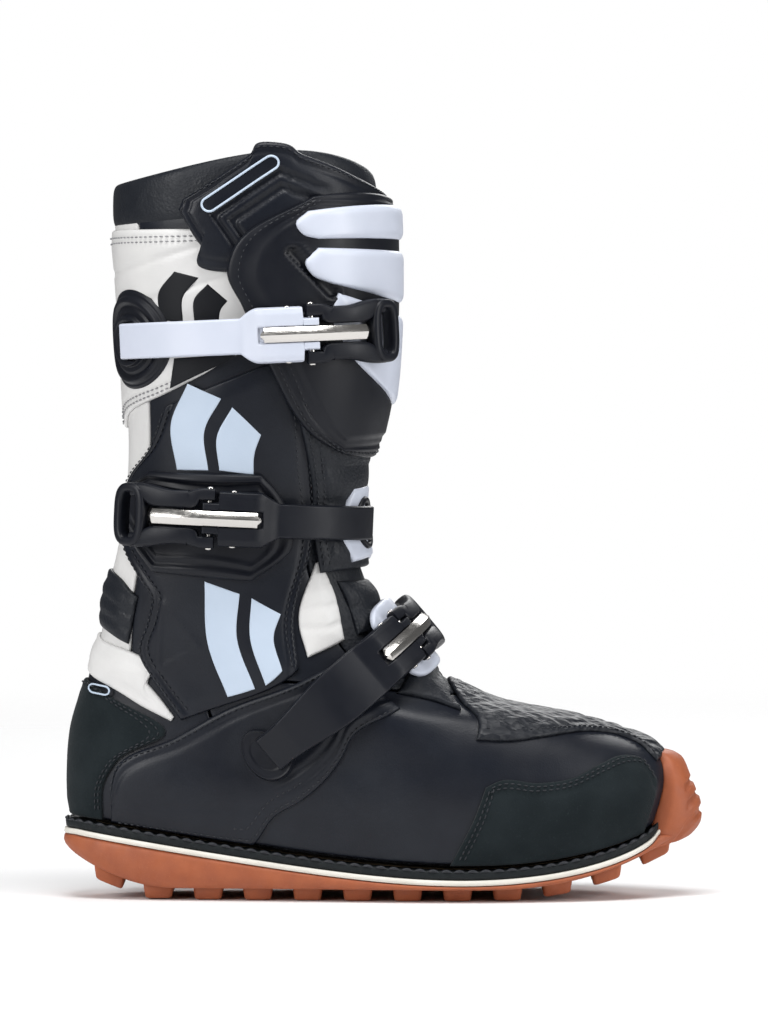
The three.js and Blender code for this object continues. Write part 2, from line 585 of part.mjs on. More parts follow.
const HEEL_EDGE = [[20, 38], [21, 56], [27, 66], [50, 80], [24, 96.5], [14, 103]];
addPart('heel_cover', overlay(railGrid([
  rail(HEEL_EDGE), backRail([0.03, 1, 1.6, 2.4, 3.1, 3.55]), rail(HEEL_EDGE, MEDIAL),
], 9, 4)), BLACK_SUEDE);
addPart('achilles_pad', overlay(railGrid([roundBack(ACHILLES_LOW, 110), roundBack(ACHILLES_HIGH, 127)], 12, 2)),
  WHITE_LEATHER);
addPart('rear_gusset', overlay(railGrid([roundBack(GUSSET_LOW, 130), roundBack(GUSSET_HIGH, 157)], 6, 3)),
  BLACK_LEATHER);
addPart('calf_panel', overlay(railGrid([roundBack(CALF_LOW, 225), roundBack(CALF_HIGH, 317)], 16, 5)),
  WHITE_LEATHER);

const TOE_PATCH_EDGE = [[200, 78], [211, 77.4], [235, 79.5], [253, 79.5], [270, 77], [280, 71.5]];
addPart('toe_patch', cushion(railGrid([
  rail(TOE_PATCH_EDGE), centreRail([4.55, 4.2, 3.6, 3.1, 2.7, 2.35]), overFront(TOE_PATCH_EDGE),
], 8, 4)), BLACK_LEATHER);
const INSTEP_PAD_EDGE = [[159, 98], [172, 95], [190, 89]];
addPart('instep_pad', cushion(railGrid([
  rail(INSTEP_PAD_EDGE), centreRail([5.02, 4.85, 4.68]), overFront(INSTEP_PAD_EDGE),
], 4, 4)), BLACK_LEATHER);
const GAITER_EDGE = [[130, 152], [135.5, 140], [140, 126]];
addPart('lower_gaiter', slab(railGrid([
  rail(GAITER_EDGE), centreRail([6.7, 6.2, 5.75]), overFront(GAITER_EDGE),
], 4, 5), OVER_IN, OVER_TOP), BLACK_LEATHER);

// ---------------------------------------------------------------- front flap
// It opens about an upright axis along its inner edge.
const HINGE_X = 112;
const HINGE_Y = 57;
const flap = new THREE.Group();
const FLAP_INNER_X = HINGE_X + 2;
const FLAP_EDGE = [[121, 156], [118, 175], [117, 200], [112, 230], [103, 262], [95, 290]];
const COLLAR_FLAP_LOW = [[58, 329], [68, 312], [79, 299.5], [104, 299], [130, 300]];
const COLLAR_FLAP_HIGH = [[60, 334], [77, 349], [95, 362.5], [108, 362.5], [135, 358]];
const SHIN_EDGE = [[128, 215], [119, 221], [98, 257], [87, 283], [80, 300], [82, 309], [117, 335]];
const MOTIF_REAR = [[120, 322], [131, 306], [137, 284], [140, 262], [142, 247]];
const innerRail = (heights, x = FLAP_INNER_X) => heights.map((z) => locate([x, z], MEDIAL)).map(([u, v]) => [u + 2, v]);

addPart('flap_leather', slab(railGrid([
  rail(FLAP_EDGE), centreRail([6.9, 7.6, 8.5, 9.6, 10.8, 11.7]), innerRail([156, 175, 200, 230, 262, 290]),
], 11, 5), FLAP_IN, FLAP_TOP), BLACK_LEATHER, flap);
addPart('collar_flap', slab(railGrid([
  [...rail(COLLAR_FLAP_LOW), [1, 12.0], ...innerRail([299])],
  [...rail(COLLAR_FLAP_HIGH), [1, 14.0], ...innerRail([346])],
], 14, 5), FLAP_IN, FLAP_TOP), BLACK_LEATHER, flap);
addPart('shin_guard', slab(railGrid([
  rail(SHIN_EDGE), centreRail([9.0, 9.6, 10.4, 11.4, 12.2, 12.7, 13.4]),
  innerRail([222, 228, 250, 275, 300, 312, 334], FLAP_INNER_X + 5),
], 11, 5), SHIN_IN, SHIN_TOP), BLACK_PLASTIC, flap);
addPart('shin_motif', slab(railGrid([
  rail(MOTIF_REAR), centreRail([13.1, 12.4, 11.6, 10.8, 10.1]),
], 8, 4), SHIN_TOP + 1.2, SHIN_TOP + 2.6), WHITE_PLASTIC, flap);

// ---------------------------------------------------------------- buckle belts
// A belt lies in an upright or tilted plane through the boot. Its own frame has +X along the strap, +Y out
// of the boot and +Z along the buckle's pin. `s` is the length along the underside of the strap.
class Belt {
  constructor({ x, z, tilt, forward, from, to, lift }) {
    const angle = THREE.MathUtils.degToRad(tilt);
    this.along = new THREE.Vector3(forward * Math.cos(angle), 0, Math.sin(angle));
    this.out = new THREE.Vector3(0, -1, 0);
    this.across = this.along.clone().cross(this.out);
    this.origin = new THREE.Vector3(x * grade.x, 0, gradedHeight(z));
    this.spots = [];
    const steps = 36;
    for (let k = 0; k <= steps; k++) {
      const u = lerp(from, to, k / steps);
      this.spots.push({ u, ...this.sample(u, lift(k / steps)) });
    }
    let length = 0;
    this.spots.forEach((spot, k) => {
      if (k > 0) length += spot.p.distanceTo(this.spots[k - 1].p);
      spot.s = length;
    });
    this.length = length;
  }

  // The place on the boot's surface at u that lies in the belt's plane.
  sample(u, lift) {
    const side = (v) => gradedPoint(u, v).sub(this.origin).dot(this.across);
    let low = 0.5;
    let high = 14.5;
    const sign = Math.sign(side(high) - side(low));
    for (let k = 0; k < 36; k++) {
      const v = (low + high) / 2;
      if (side(v) * sign < 0) low = v;
      else high = v;
    }
    const p = bootPoint(u, low, lift).sub(this.origin);
    return { v: low, p: new THREE.Vector2(p.dot(this.along), p.dot(this.out)) };
  }

  // Point `t` out from the underside at the length s; past either end it goes straight on.
  point(s, t) {
    const { spots } = this;
    let k = 1;
    while (k < spots.length - 1 && spots[k].s < s) k++;
    const [a, b] = [spots[k - 1], spots[k]];
    const share = (s - a.s) / (b.s - a.s);
    const direction = this.direction(s);
    return new THREE.Vector2(
      lerp(a.p.x, b.p.x, share) - direction.y * t, lerp(a.p.y, b.p.y, share) + direction.x * t);
  }

  direction(s) {
    const reach = 4;
    const at = (length) => {
      let k = 1;
      while (k < this.spots.length - 1 && this.spots[k].s < length) k++;
      const [a, b] = [this.spots[k - 1], this.spots[k]];
      return a.p.clone().lerp(b.p, (length - a.s) / (b.s - a.s));
    };
    return at(s + reach).sub(at(s - reach)).normalize();
  }

  // Surface position (u, v) under the length s.
  under(s) {
    const k = this.spots.findIndex((spot) => spot.s >= s);
    return [this.spots[k].u, this.spots[k].v];
  }

  // Solid strip of the belt: lengths s, heights t above the underside, and half width about the middle.
  strip([s0, s1], [t0, t1], [c0, c1], steps = Math.max(2, Math.ceil((s1 - s0) / 8))) {
    const height = (t, share) => (typeof t === 'function' ? t(share) : t);
    const edge = (t) => Array.from({ length: steps + 1 }, (_, k) => (
      this.point(lerp(s0, s1, k / steps), height(t, k / steps))));
    const shape = new THREE.Shape([...edge(t0), ...edge(t1).toReversed()]);
    const body = new THREE.ExtrudeGeometry(shape, { depth: c1 - c0, bevelEnabled: false });
    body.translate(0, 0, c0);
    return toSolid(body);
  }

  pin(s, t, radius, half, sides = 12) {
    const body = new THREE.CylinderGeometry(radius, radius, 2 * half, sides);
    body.rotateX(Math.PI / 2);
    const centre = this.point(s, t);
    body.translate(centre.x, centre.y, 0);
    return toSolid(body);
  }

  // Group whose frame is the belt's own.
  group() {
    const group = new THREE.Group();
    const basis = new THREE.Matrix4().makeBasis(this.along, this.out, this.across);
    group.quaternion.setFromRotationMatrix(basis);
    group.position.copy(this.origin);
    return group;
  }
}

const PIN_HEIGHT = 2.7;          // pin of the lever above the underside of the strap
const HEAD_BACK = 33;            // the strap's head behind the pin
const HEAD_NOSE = 3.4;           // and past it
const BAR_BACK = 23.5;
const BAR_NOSE = 31.0;
const BAR_LOW = 4.9;
const BAR_TOP = 8.2;
const LEVER_TAIL = 3.2;
const LEVER_LENGTH = 45.5;
const WINDOW = [35.5, 42.0];     // finger window of the lever, from the pin
const WINDOW_HALF = 9.5;
const LEVER_TOP = 7.4;
const LEVER_LOW = 0.8;
// The head is cut back this far from the pin, so that the raised lever clears it.
const NOTCH_BACK = Math.max(LEVER_TAIL, LEVER_TOP - PIN_HEIGHT) + 1.5;

function addBuckle(name, belt, pinAt, strapHalf, strapFinish) {
  const group = belt.group();
  boot.add(group);
  const far = 60;
  const full = [-far / 4, far / 4];
  const strap = belt.strip([0, pinAt - HEAD_BACK + 2], [0, STRAP_THICKNESS], [-strapHalf, strapHalf]);
  const head = belt.strip([pinAt - HEAD_BACK, pinAt + HEAD_NOSE], [0, (share) => HEAD_THICKNESS
    * clamp(0.45 + 3 * share, 0, 1)], [-HEAD_HALF_WIDTH, HEAD_HALF_WIDTH], 6);
  const channel = belt.strip([pinAt - BAR_BACK - 0.8, pinAt + HEAD_NOSE + 3], [BAR_LOW - 0.4, far / 4],
    [-BAR_HALF_WIDTH - 0.4, BAR_HALF_WIDTH + 0.4], 5);
  const notch = (side) => belt.strip([pinAt - NOTCH_BACK, pinAt + far / 4], full,
    side > 0 ? [FORK_HALF_GAP - 0.4, far] : [-far, 0.4 - FORK_HALF_GAP], 3);
  const bore = belt.pin(pinAt, PIN_HEIGHT, PIN_RADIUS + PIN_CLEARANCE, far);
  const strapSolid = strap.add(head).subtract(channel).subtract(notch(1)).subtract(notch(-1)).subtract(bore);
  addPart(`${name}_strap`, fromSolid(strapSolid), strapFinish, group);

  const bar = belt.strip([pinAt - BAR_BACK, pinAt + BAR_NOSE], [BAR_LOW, BAR_TOP],
    [-BAR_HALF_WIDTH, BAR_HALF_WIDTH], 7);
  const hook = belt.strip([pinAt + BAR_NOSE - 3, pinAt + BAR_NOSE], [1.2, BAR_LOW + 1],
    [-BAR_HALF_WIDTH, BAR_HALF_WIDTH], 2);
  addPart(`${name}_bar`, fromSolid(bar.add(hook)), STEEL, group);
  addPart(`${name}_pin`, fromSolid(belt.pin(pinAt, PIN_HEIGHT, PIN_RADIUS, LEVER_HALF_WIDTH + 0.8)), STEEL, group);

  const tailDisc = belt.pin(pinAt, PIN_HEIGHT, LEVER_TAIL, LEVER_HALF_WIDTH, 14);
  const blade = belt.strip([pinAt, pinAt + LEVER_LENGTH], [LEVER_LOW, LEVER_TOP],
    [-LEVER_HALF_WIDTH, LEVER_HALF_WIDTH], 7);
  const throat = belt.strip([pinAt - far / 4, pinAt + BAR_NOSE + 0.8], full, [-FORK_HALF_GAP, FORK_HALF_GAP], 7);
  const window = belt.strip(WINDOW.map((d) => pinAt + d), full, [-WINDOW_HALF, WINDOW_HALF], 2);
  const lever = blade.add(tailDisc).subtract(throat).subtract(window).subtract(bore);
  addPart(`${name}_lever`, fromSolid(lever), BLACK_PLASTIC, group);
}

// Flat seat under a lever, following the surface, between two lengths of the belt.
function seatGrid(belt, from, to, half, columns = 4, rows = 4) {
  const [u0] = belt.under(from);
  const [u1, v] = belt.under(to);
  const scale = bootPoint(u1, v + 0.05).distanceTo(bootPoint(u1, v - 0.05)) / 0.1;
  return rangeGrid(Math.min(u0, u1), Math.max(u0, u1), v - half / scale, v + half / scale, columns, rows);
}

// ---------------------------------------------------------------- upper buckle
const DISC_CENTRE = locate([37.3, 267]);
const HUB_TOP = OVER_TOP + 4.4;
const upperBelt = new Belt({
  x: 28, z: 266.6, tilt: 2.4, forward: 1, from: DISC_CENTRE[0], to: 1.02,
  lift: (share) => lerp(HUB_TOP + 0.9, SHIN_TOP + 3.2, THREE.MathUtils.smoothstep(share, 0, 0.5)),
});
const UPPER_PIN = 100 * grade.x;
addPart('upper_anchor_disc', roundPatch(DISC_CENTRE, DISC_RADIUS, OVER_TOP + 0.7, OVER_TOP + 2.5, 22), BLACK_PLASTIC);
addPart('upper_anchor_hub', roundPatch(DISC_CENTRE, HUB_RADIUS, OVER_TOP + 3.0, HUB_TOP, 16), BLACK_PLASTIC);
addPart('upper_base', slab(seatGrid(upperBelt, UPPER_PIN - 6, UPPER_PIN + 18, 11, 5, 3), SHIN_TOP + 0.5,
  SHIN_TOP + 2.0), BLACK_PLASTIC, flap);
addBuckle('upper', upperBelt, UPPER_PIN, 8.5, WHITE_PLASTIC);

// ---------------------------------------------------------------- middle buckle
const midBelt = new Belt({
  x: 153.6, z: 179.5, tilt: 2.5, forward: -1, from: 0.93, to: 0.06, lift: () => OVER_TOP + 7.8,
});
const MID_PIN = 92 * grade.x;
const PLATE_REAR = [[46, 157], [39, 168], [33.4, 194], [45.6, 205]];
const PLATE_FRONT = [[90.7, 153], [108, 168], [102.5, 195.5], [95, 204.5]];
const HOLDER_GRID = [[[133, 160], [128.5, 170], [128.5, 188], [132, 198]]];
addPart('mid_buckle_plate', slab(railGrid([rail(PLATE_REAR), rail(PLATE_FRONT)], 5, 8), OVER_TOP + 1.6,
  OVER_TOP + 3.8), BLACK_PLASTIC);
addPart('mid_buckle_seat', slab(seatGrid(midBelt, MID_PIN + 12, MID_PIN + 30, 6.5, 3, 2), OVER_TOP + 4.4,
  OVER_TOP + 6.2), BLACK_PLASTIC);
addPart('mid_strap_holder', slab(railGrid([rail(HOLDER_GRID[0]), centreRail([7.05, 7.5, 8.1, 8.5])], 5, 4),
  FLAP_TOP + 0.7, FLAP_TOP + 2.7), WHITE_PLASTIC, flap);
addBuckle('mid', midBelt, MID_PIN, 8.2, BLACK_PLASTIC);

// ---------------------------------------------------------------- instep buckle
const PIVOT_CENTRE = locate([98.9, 70.6]);
const instepBelt = new Belt({
  x: 98.9, z: 70.6, tilt: 40, forward: 1, from: PIVOT_CENTRE[0], to: 1.32,
  lift: (share) => OVER_TOP + lerp(8.6, 7.4, THREE.MathUtils.smoothstep(share, 0.05, 0.3)),
});
const INSTEP_PIN = 96.5 * grade.x;
addPart('instep_pivot_disc', roundPatch(PIVOT_CENTRE, PIVOT_RADIUS, OVER_TOP + 0.7, OVER_TOP + 4.6, 16), BLACK_PLASTIC);
addPart('instep_base', slab(seatGrid(instepBelt, INSTEP_PIN - 8, INSTEP_PIN + 28, 19, 6, 4), OVER_TOP + 1.0,
  OVER_TOP + 4.6), WHITE_PLASTIC);
addBuckle('instep', instepBelt, INSTEP_PIN, 13.6, BLACK_PLASTIC);

boot.add(flap);
// The ground is under the lugs, and the origin under the middle of the boot.
const bounds = new THREE.Box3().setFromObject(boot);
const middle = bounds.getCenter(new THREE.Vector3());
boot.position.set(-middle.x, -middle.y, -bounds.min.z);
export default boot;
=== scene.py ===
"""Motorcycle trials boot for the right foot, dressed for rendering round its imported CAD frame.

Sizes are in millimetres in the boot's own drawing frame: x from the heel to the toe, z up from the ground
and y to the inner side. place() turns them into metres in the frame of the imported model.
"""

import bpy
import numpy as np
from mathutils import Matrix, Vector


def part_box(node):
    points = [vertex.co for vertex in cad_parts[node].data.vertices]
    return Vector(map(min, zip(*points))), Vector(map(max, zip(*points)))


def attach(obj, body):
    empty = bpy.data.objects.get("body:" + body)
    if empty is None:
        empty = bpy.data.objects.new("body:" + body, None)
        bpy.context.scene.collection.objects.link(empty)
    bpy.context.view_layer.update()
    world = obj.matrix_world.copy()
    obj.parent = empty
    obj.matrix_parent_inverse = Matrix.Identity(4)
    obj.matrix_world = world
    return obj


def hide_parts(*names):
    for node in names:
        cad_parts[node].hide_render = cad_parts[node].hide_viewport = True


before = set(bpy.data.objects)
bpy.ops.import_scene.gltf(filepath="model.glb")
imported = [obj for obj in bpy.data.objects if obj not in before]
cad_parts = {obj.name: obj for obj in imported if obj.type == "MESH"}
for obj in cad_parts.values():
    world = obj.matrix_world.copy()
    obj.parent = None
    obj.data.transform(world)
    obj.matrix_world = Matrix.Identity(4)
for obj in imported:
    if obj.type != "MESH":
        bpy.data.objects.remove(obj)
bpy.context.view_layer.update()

# ---------------------------------------------------------------- the last
# The wooden last that the boot is built on: every leather piece is a part of its surface, lifted by the
# layers under it. u runs round it, 0 at the back seam, 1 at the front by the outer side and on to 2 at the
# back by the inner side; v counts the rows upwards.
SHANK_START = 55.5
shank_low, shank_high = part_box("shank")
DRAWING_ZERO = np.array([shank_low.x - SHANK_START / 1000, (shank_low.y + shank_high.y) / 2, 0.0])
# back x and z, front x and z, half width, share of it left at the back, roundness of back and front, sag
LAST = np.array([
    [5.5, 39, 285, 39, 46, 0.74, 2.6, 2.9, 22.5],
    [5, 60, 289.5, 60, 52, 0.73, 2.6, 2.7, 16],
    [6.5, 80, 281, 71.5, 51, 0.72, 2.4, 2.3, 8],
    [11, 96.5, 248, 82.5, 47, 0.76, 2.2, 2.1, 2],
    [14.5, 111, 204, 92, 42, 0.84, 2.1, 2, 0],
    [19, 125, 169, 113, 39, 0.93, 2, 2, 0],
    [22, 145, 152, 133, 38, 1, 2, 2.1, 0],
    [27, 166, 140, 160, 39, 1, 2.1, 2.1, 0],
    [31, 190, 136, 186, 41, 1, 2.2, 2.2, 0],
    [32.5, 215, 140, 213, 44, 1, 2.2, 2.2, 0],
    [31.5, 242, 146, 241, 47, 1, 2.2, 2.2, 0],
    [30, 270, 148.5, 270, 49, 1, 2.2, 2.2, 0],
    [28, 300, 149, 300, 50, 1, 2.2, 2.2, 0],
    [26, 323, 148.5, 326, 50, 1, 2.2, 2.2, -4],
    [26, 341, 147, 346, 49, 1, 2.2, 2.2, -12],
    [26, 357, 145.5, 362, 48, 1, 2.2, 2.2, -14],
])
OUTER, INNER = 1, -1
TOE_CAMBER = 5.0


def last_rows(v):
    """Rows of the last at the heights v: cubic curves through the rows, straight on below the lowest."""
    v = np.asarray(v, float)
    end = len(LAST) - 1
    i = np.clip(np.floor(v).astype(int), 0, end - 1)
    t = (v - i)[..., None]
    b, d = LAST[i], LAST[i + 1]
    a = np.where((i > 0)[..., None], LAST[np.maximum(i - 1, 0)], 2 * b - d)
    e = np.where((i + 2 <= end)[..., None], LAST[np.minimum(i + 2, end)], 2 * d - b)
    curve = (b * (2 * t**3 - 3 * t**2 + 1) + (d - a) / 2 * (t**3 - 2 * t**2 + t)
             + d * (3 * t**2 - 2 * t**3) + (e - b) / 2 * (t**3 - t**2))
    below = LAST[0] + v[..., None] * (LAST[1] - LAST[0])
    return np.where((v < 0)[..., None], below, curve)


def ease(x, low, high):
    """0 below low, 1 above high, and a smooth step between them."""
    t = np.clip((np.asarray(x, float) - low) / (high - low), 0, 1)
    return t * t * (3 - 2 * t)


def full_turn(count):
    """Angles of one turn, in even steps."""
    return np.linspace(0, 2 * np.pi, count, endpoint=False)


def squared(value, power):
    """A sine or cosine raised to a power below 1 with its sign kept, which squares a circle off."""
    return np.sign(value) * np.abs(value)**power


def rolled(distance, roll):
    """Share of the full height at a distance from the border: a quarter ellipse as wide as the roll."""
    return np.sqrt(1 - (1 - np.clip(distance / roll, 0, 1))**2)


def last_point(u, v):
    """Point of the last: along the row from back to front by the cosine of u, with a superellipse across."""
    u, v = np.broadcast_arrays(np.asarray(u, float), np.asarray(v, float))
    turn = np.where(u > 1, u - 2, np.where(u < -1, u + 2, u))
    back_x, back_z, front_x, front_z, half, share, back_round, front_round, sag = np.moveaxis(last_rows(v), -1, 0)
    s = (1 - np.cos(np.pi * np.abs(turn))) / 2
    p = np.where(s < 0.5, back_round, front_round)
    girth = np.maximum(0, 1 - np.abs(2 * s - 1)**p)**(1 / p)
    widen = share + (1 - share) * ease(s, 0.25, 0.7)
    camber = TOE_CAMBER * s * s * np.clip(1 - v / 5, 0, 1)
    dip = sag * np.maximum(0, np.sin(np.pi * s**1.7))**0.6
    y = -np.sign(turn) * half * girth * widen + camber
    return np.stack([back_x + (front_x - back_x) * s, y, back_z + (front_z - back_z) * s - dip], -1)


def last_normal(u, v):
    """Outward direction of the last at (u, v), across its two tangents."""
    along_u = last_point(u + 1e-3, v) - last_point(u - 1e-3, v)
    along_v = last_point(u, v + 1e-2) - last_point(u, v - 1e-2)
    normal = np.cross(along_u, along_v)
    return normal / np.maximum(np.linalg.norm(normal, axis=-1, keepdims=True), 1e-9)


def lifted(u, v, lift):
    """Point of the last at (u, v), lifted off it along its normal by one lift or a lift for each point."""
    return last_point(u, v) + last_normal(u, v) * np.asarray(lift, float)[..., None]


def locate(points, side=OUTER):
    """(u, v) of places given as (x, z) in the side view, found by halving the range of v."""
    x, z = np.asarray(points, float).T
    low, high = np.full(x.shape, -0.5), np.full(x.shape, 15.0)
    for _ in range(40):
        v = (low + high) / 2
        rows = last_rows(v)
        s = np.clip((x - rows[:, 0]) / (rows[:, 2] - rows[:, 0]), 0, 1)
        u = np.arccos(1 - 2 * s) / np.pi
        below = last_point(u, v)[:, 2] < z
        low, high = np.where(below, v, low), np.where(below, high, v)
    return np.stack([side * u, low], -1)


def flowing(points, count=160):
    """Smooth curve through the points, as cubics whose slopes follow the chords, evenly spaced by length."""
    points = np.asarray(points, float)
    reach = np.r_[0, np.cumsum(np.linalg.norm(np.diff(points, axis=0), axis=1))]
    slope = np.gradient(points, reach, axis=0) if len(points) > 2 else (points[1:] - points[:1]) / reach[1]
    slope = np.broadcast_to(slope, points.shape)
    goal = np.linspace(0, reach[-1], count)
    k = np.clip(np.searchsorted(reach, goal, side="right") - 1, 0, len(points) - 2)
    step = (reach[k + 1] - reach[k])[:, None]
    t = (goal - reach[k])[:, None] / step
    return (points[k] * (2 * t**3 - 3 * t**2 + 1) + slope[k] * step * (t**3 - 2 * t**2 + t)
            + points[k + 1] * (3 * t**2 - 2 * t**3) + slope[k + 1] * step * (t**3 - t**2))


LOWEST_EDGE = 0.05


def rail(points, side=OUTER):
    """Edge of a panel in (u, v), from its corners and curve points in the side view."""
    uv = locate(flowing(points), side)
    uv[:, 1] = np.maximum(uv[:, 1], LOWEST_EDGE)
    return uv


def past_front(uv):
    """The same edge on the inner side, counted on past the front."""
    return np.stack([2 - uv[:, 0], uv[:, 1]], -1)


def level(u, heights):
    """Edge at one u, through the given heights."""
    return flowing(np.stack([np.full(len(heights), u), np.asarray(heights, float)], -1))


def round_back(points, back_height):
    """Edge from the outer side round the back seam to the inner side."""
    outer = locate(points)
    middle = [[0, locate([[0.0, back_height]])[0, 1]]]
    return flowing(np.concatenate([outer, middle, (outer * [-1, 1])[::-1]]))


class Patch:
    """Part of the last between two or three edges. at(a, b) gives (u, v): a from edge to edge, b along them."""

    def __init__(self, *edges):
        self.edges = []
        for edge in edges:
            spots = last_point(edge[:, 0], edge[:, 1])
            reach = np.r_[0, np.cumsum(np.linalg.norm(np.diff(spots, axis=0), axis=1))]
            goal = np.linspace(0, reach[-1], 200)
            self.edges.append(np.stack([np.interp(goal, reach, edge[:, c]) for c in (0, 1)], -1))
        mid = self.at(np.linspace(0, 1, 60), np.full(60, 0.5))
        self.across = np.linalg.norm(np.diff(last_point(mid[:, 0], mid[:, 1]), axis=0), axis=1).sum()
        run = self.at(np.full(60, 0.5), np.linspace(0, 1, 60))
        self.along = np.linalg.norm(np.diff(last_point(run[:, 0], run[:, 1]), axis=0), axis=1).sum()

    def at(self, a, b):
        a, b = np.broadcast_arrays(np.asarray(a, float), np.asarray(b, float))
        steps = np.linspace(0, 1, 200)
        rows = [np.stack([np.interp(b, steps, edge[:, c]) for c in (0, 1)], -1) for edge in self.edges]
        a = a[..., None]
        if len(rows) == 2:
            return rows[0] * (1 - a) + rows[1] * a
        first, middle, last = rows
        return first * (2 * a - 1) * (a - 1) + middle * 4 * a * (1 - a) + last * a * (2 * a - 1)

    def grid(self, step):
        """Grid of (u, v) with closer lines along the borders, where the edge is rolled."""
        return self.at(paced(self.across, step)[:, None], paced(self.along, step)[None, :])


def paced(length, step, hem=(0.15, 0.4, 0.8, 1.4)):
    """Shares from 0 to 1 along a length: a few close ones at both ends and even ones between."""
    hem = np.array(hem) / length
    inner = np.linspace(hem[-1], 1 - hem[-1], max(3, int(length / step)))
    return np.concatenate([[0], hem[:-1], inner, (1 - hem[:-1])[::-1], [1]])


def place(points):
    """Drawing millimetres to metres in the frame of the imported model."""
    return np.asarray(points) / 1000 + DRAWING_ZERO


def make_piece(name, points, faces, material, body, slot, replaces=(), smooth=True):
    """Mesh object from points in drawing millimetres and quads, faced outwards by its signed volume."""
    points, faces = np.asarray(points, float).reshape(-1, 3), np.asarray(faces, int)
    middle = points.mean(0)
    a, b, c, d = (points[faces[:, k]] - middle for k in range(4))
    volume = (np.cross(a, b) * c).sum() + (np.cross(a, c) * d).sum()
    faces = faces if volume > 0 else faces[:, ::-1]
    mesh = bpy.data.meshes.new(name)
    mesh.from_pydata(place(points).tolist(), [], [list(dict.fromkeys(f)) for f in faces.tolist()])
    mesh.update()
    if smooth:
        mesh.shade_smooth()
    mesh.materials.append(material)
    piece = bpy.data.objects.new(name, mesh)
    bpy.context.scene.collection.objects.link(piece)
    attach(piece, body)
    if replaces:
        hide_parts(*replaces)
    return piece


def quads(rows, columns, loop_rows=False, loop_columns=False, start=0):
    """Corner numbers of the cells of a grid of rows x columns points."""
    i = np.arange(rows if loop_rows else rows - 1)[:, None]
    j = np.arange(columns if loop_columns else columns - 1)[None, :]
    cell = [i * columns + j, (i + 1) % rows * columns + j, (i + 1) % rows * columns + (j + 1) % columns,
            i * columns + (j + 1) % columns]
    return np.stack(np.broadcast_arrays(*cell), -1).reshape(-1, 4) + start


def closed_sheet(top, under):
    """One closed skin from two grids that share their border: (points, quads)."""
    n, m = top.shape[:2]
    own = np.zeros((n, m), bool)
    own[1:-1, 1:-1] = True
    number = np.arange(n * m).reshape(n, m)
    low = number.copy()
    low[own] = n * m + np.arange(own.sum())
    upper = quads(n, m)
    lower = low.ravel()[upper][:, ::-1]
    return np.concatenate([top.reshape(-1, 3), under[own]]), np.concatenate([upper, lower])


def capped(rings):
    """One closed body from rings of points: the sides, and a fan to the middle of each end ring."""
    count, columns = rings.shape[:2]
    poles, ahead = count * columns, full_fan(columns)
    last = (count - 1) * columns
    caps = [np.stack([np.full(columns, poles), ahead[0], ahead[1], ahead[1]], -1),
            np.stack([np.full(columns, poles + 1), last + ahead[1], last + ahead[0], last + ahead[0]], -1)]
    return (np.concatenate([rings.reshape(-1, 3), rings[[0, -1]].mean(1)]),
            np.concatenate([quads(count, columns, False, True), *caps]))


def full_fan(columns):
    """Numbers of the points of a ring, and of the point after each."""
    here = np.arange(columns)
    return here, (here + 1) % columns


def inset(points):
    """Distance of each grid point from the nearest border, along the grid's lines."""
    best = []
    for axis in (0, 1):
        run = np.linalg.norm(np.diff(points, axis=axis), axis=-1)
        zero = np.zeros_like(np.take(run, [0], axis))
        reach = np.cumsum(np.concatenate([zero, run], axis), axis)
        best.append(np.minimum(reach, np.take(reach, [-1], axis) - reach))
    return np.minimum(*best)


class Ground:
    """What a relief needs to know at each point of a panel: side-view place, (u, v) and border distances."""

    def __init__(self, uv):
        self.u, self.v = uv[..., 0], uv[..., 1]
        spots = last_point(self.u, self.v)
        self.x, self.z = spots[..., 0], spots[..., 2]
        self.first, self.last = self.reach(spots, 0)
        self.start, self.end = self.reach(spots, 1)
        self.rim = np.minimum(np.minimum(self.first, self.last), np.minimum(self.start, self.end))

    @staticmethod
    def reach(spots, axis):
        run = np.linalg.norm(np.diff(spots, axis=axis), axis=-1)
        reach = np.cumsum(np.concatenate([np.zeros_like(np.take(run, [0], axis)), run], axis), axis)
        return reach, np.take(reach, [-1], axis) - reach


CROWN_IN = 9.0


def panel(name, patch, base, top, finish, slot, node, body="boot", relief=None, step=1.6, roll=1.3, crown=0.9):
    """Piece of leather or shell on the last: it is lifted to top, less the crown near its borders, and its
    edge rolls down to base. relief(ground) adds height inside the border."""
    g = Ground(patch.grid(step))
    height = top - base - crown * (1 - ease(g.rim, 0, CROWN_IN))
    if relief is not None:
        height = height + relief(g)
    upper = lifted(g.u, g.v, base + rolled(g.rim, roll) * height)
    return make_piece(name, *closed_sheet(upper, lifted(g.u, g.v, base)), finish.material, body, slot, [node])


WAVE_BANDS = 314.0


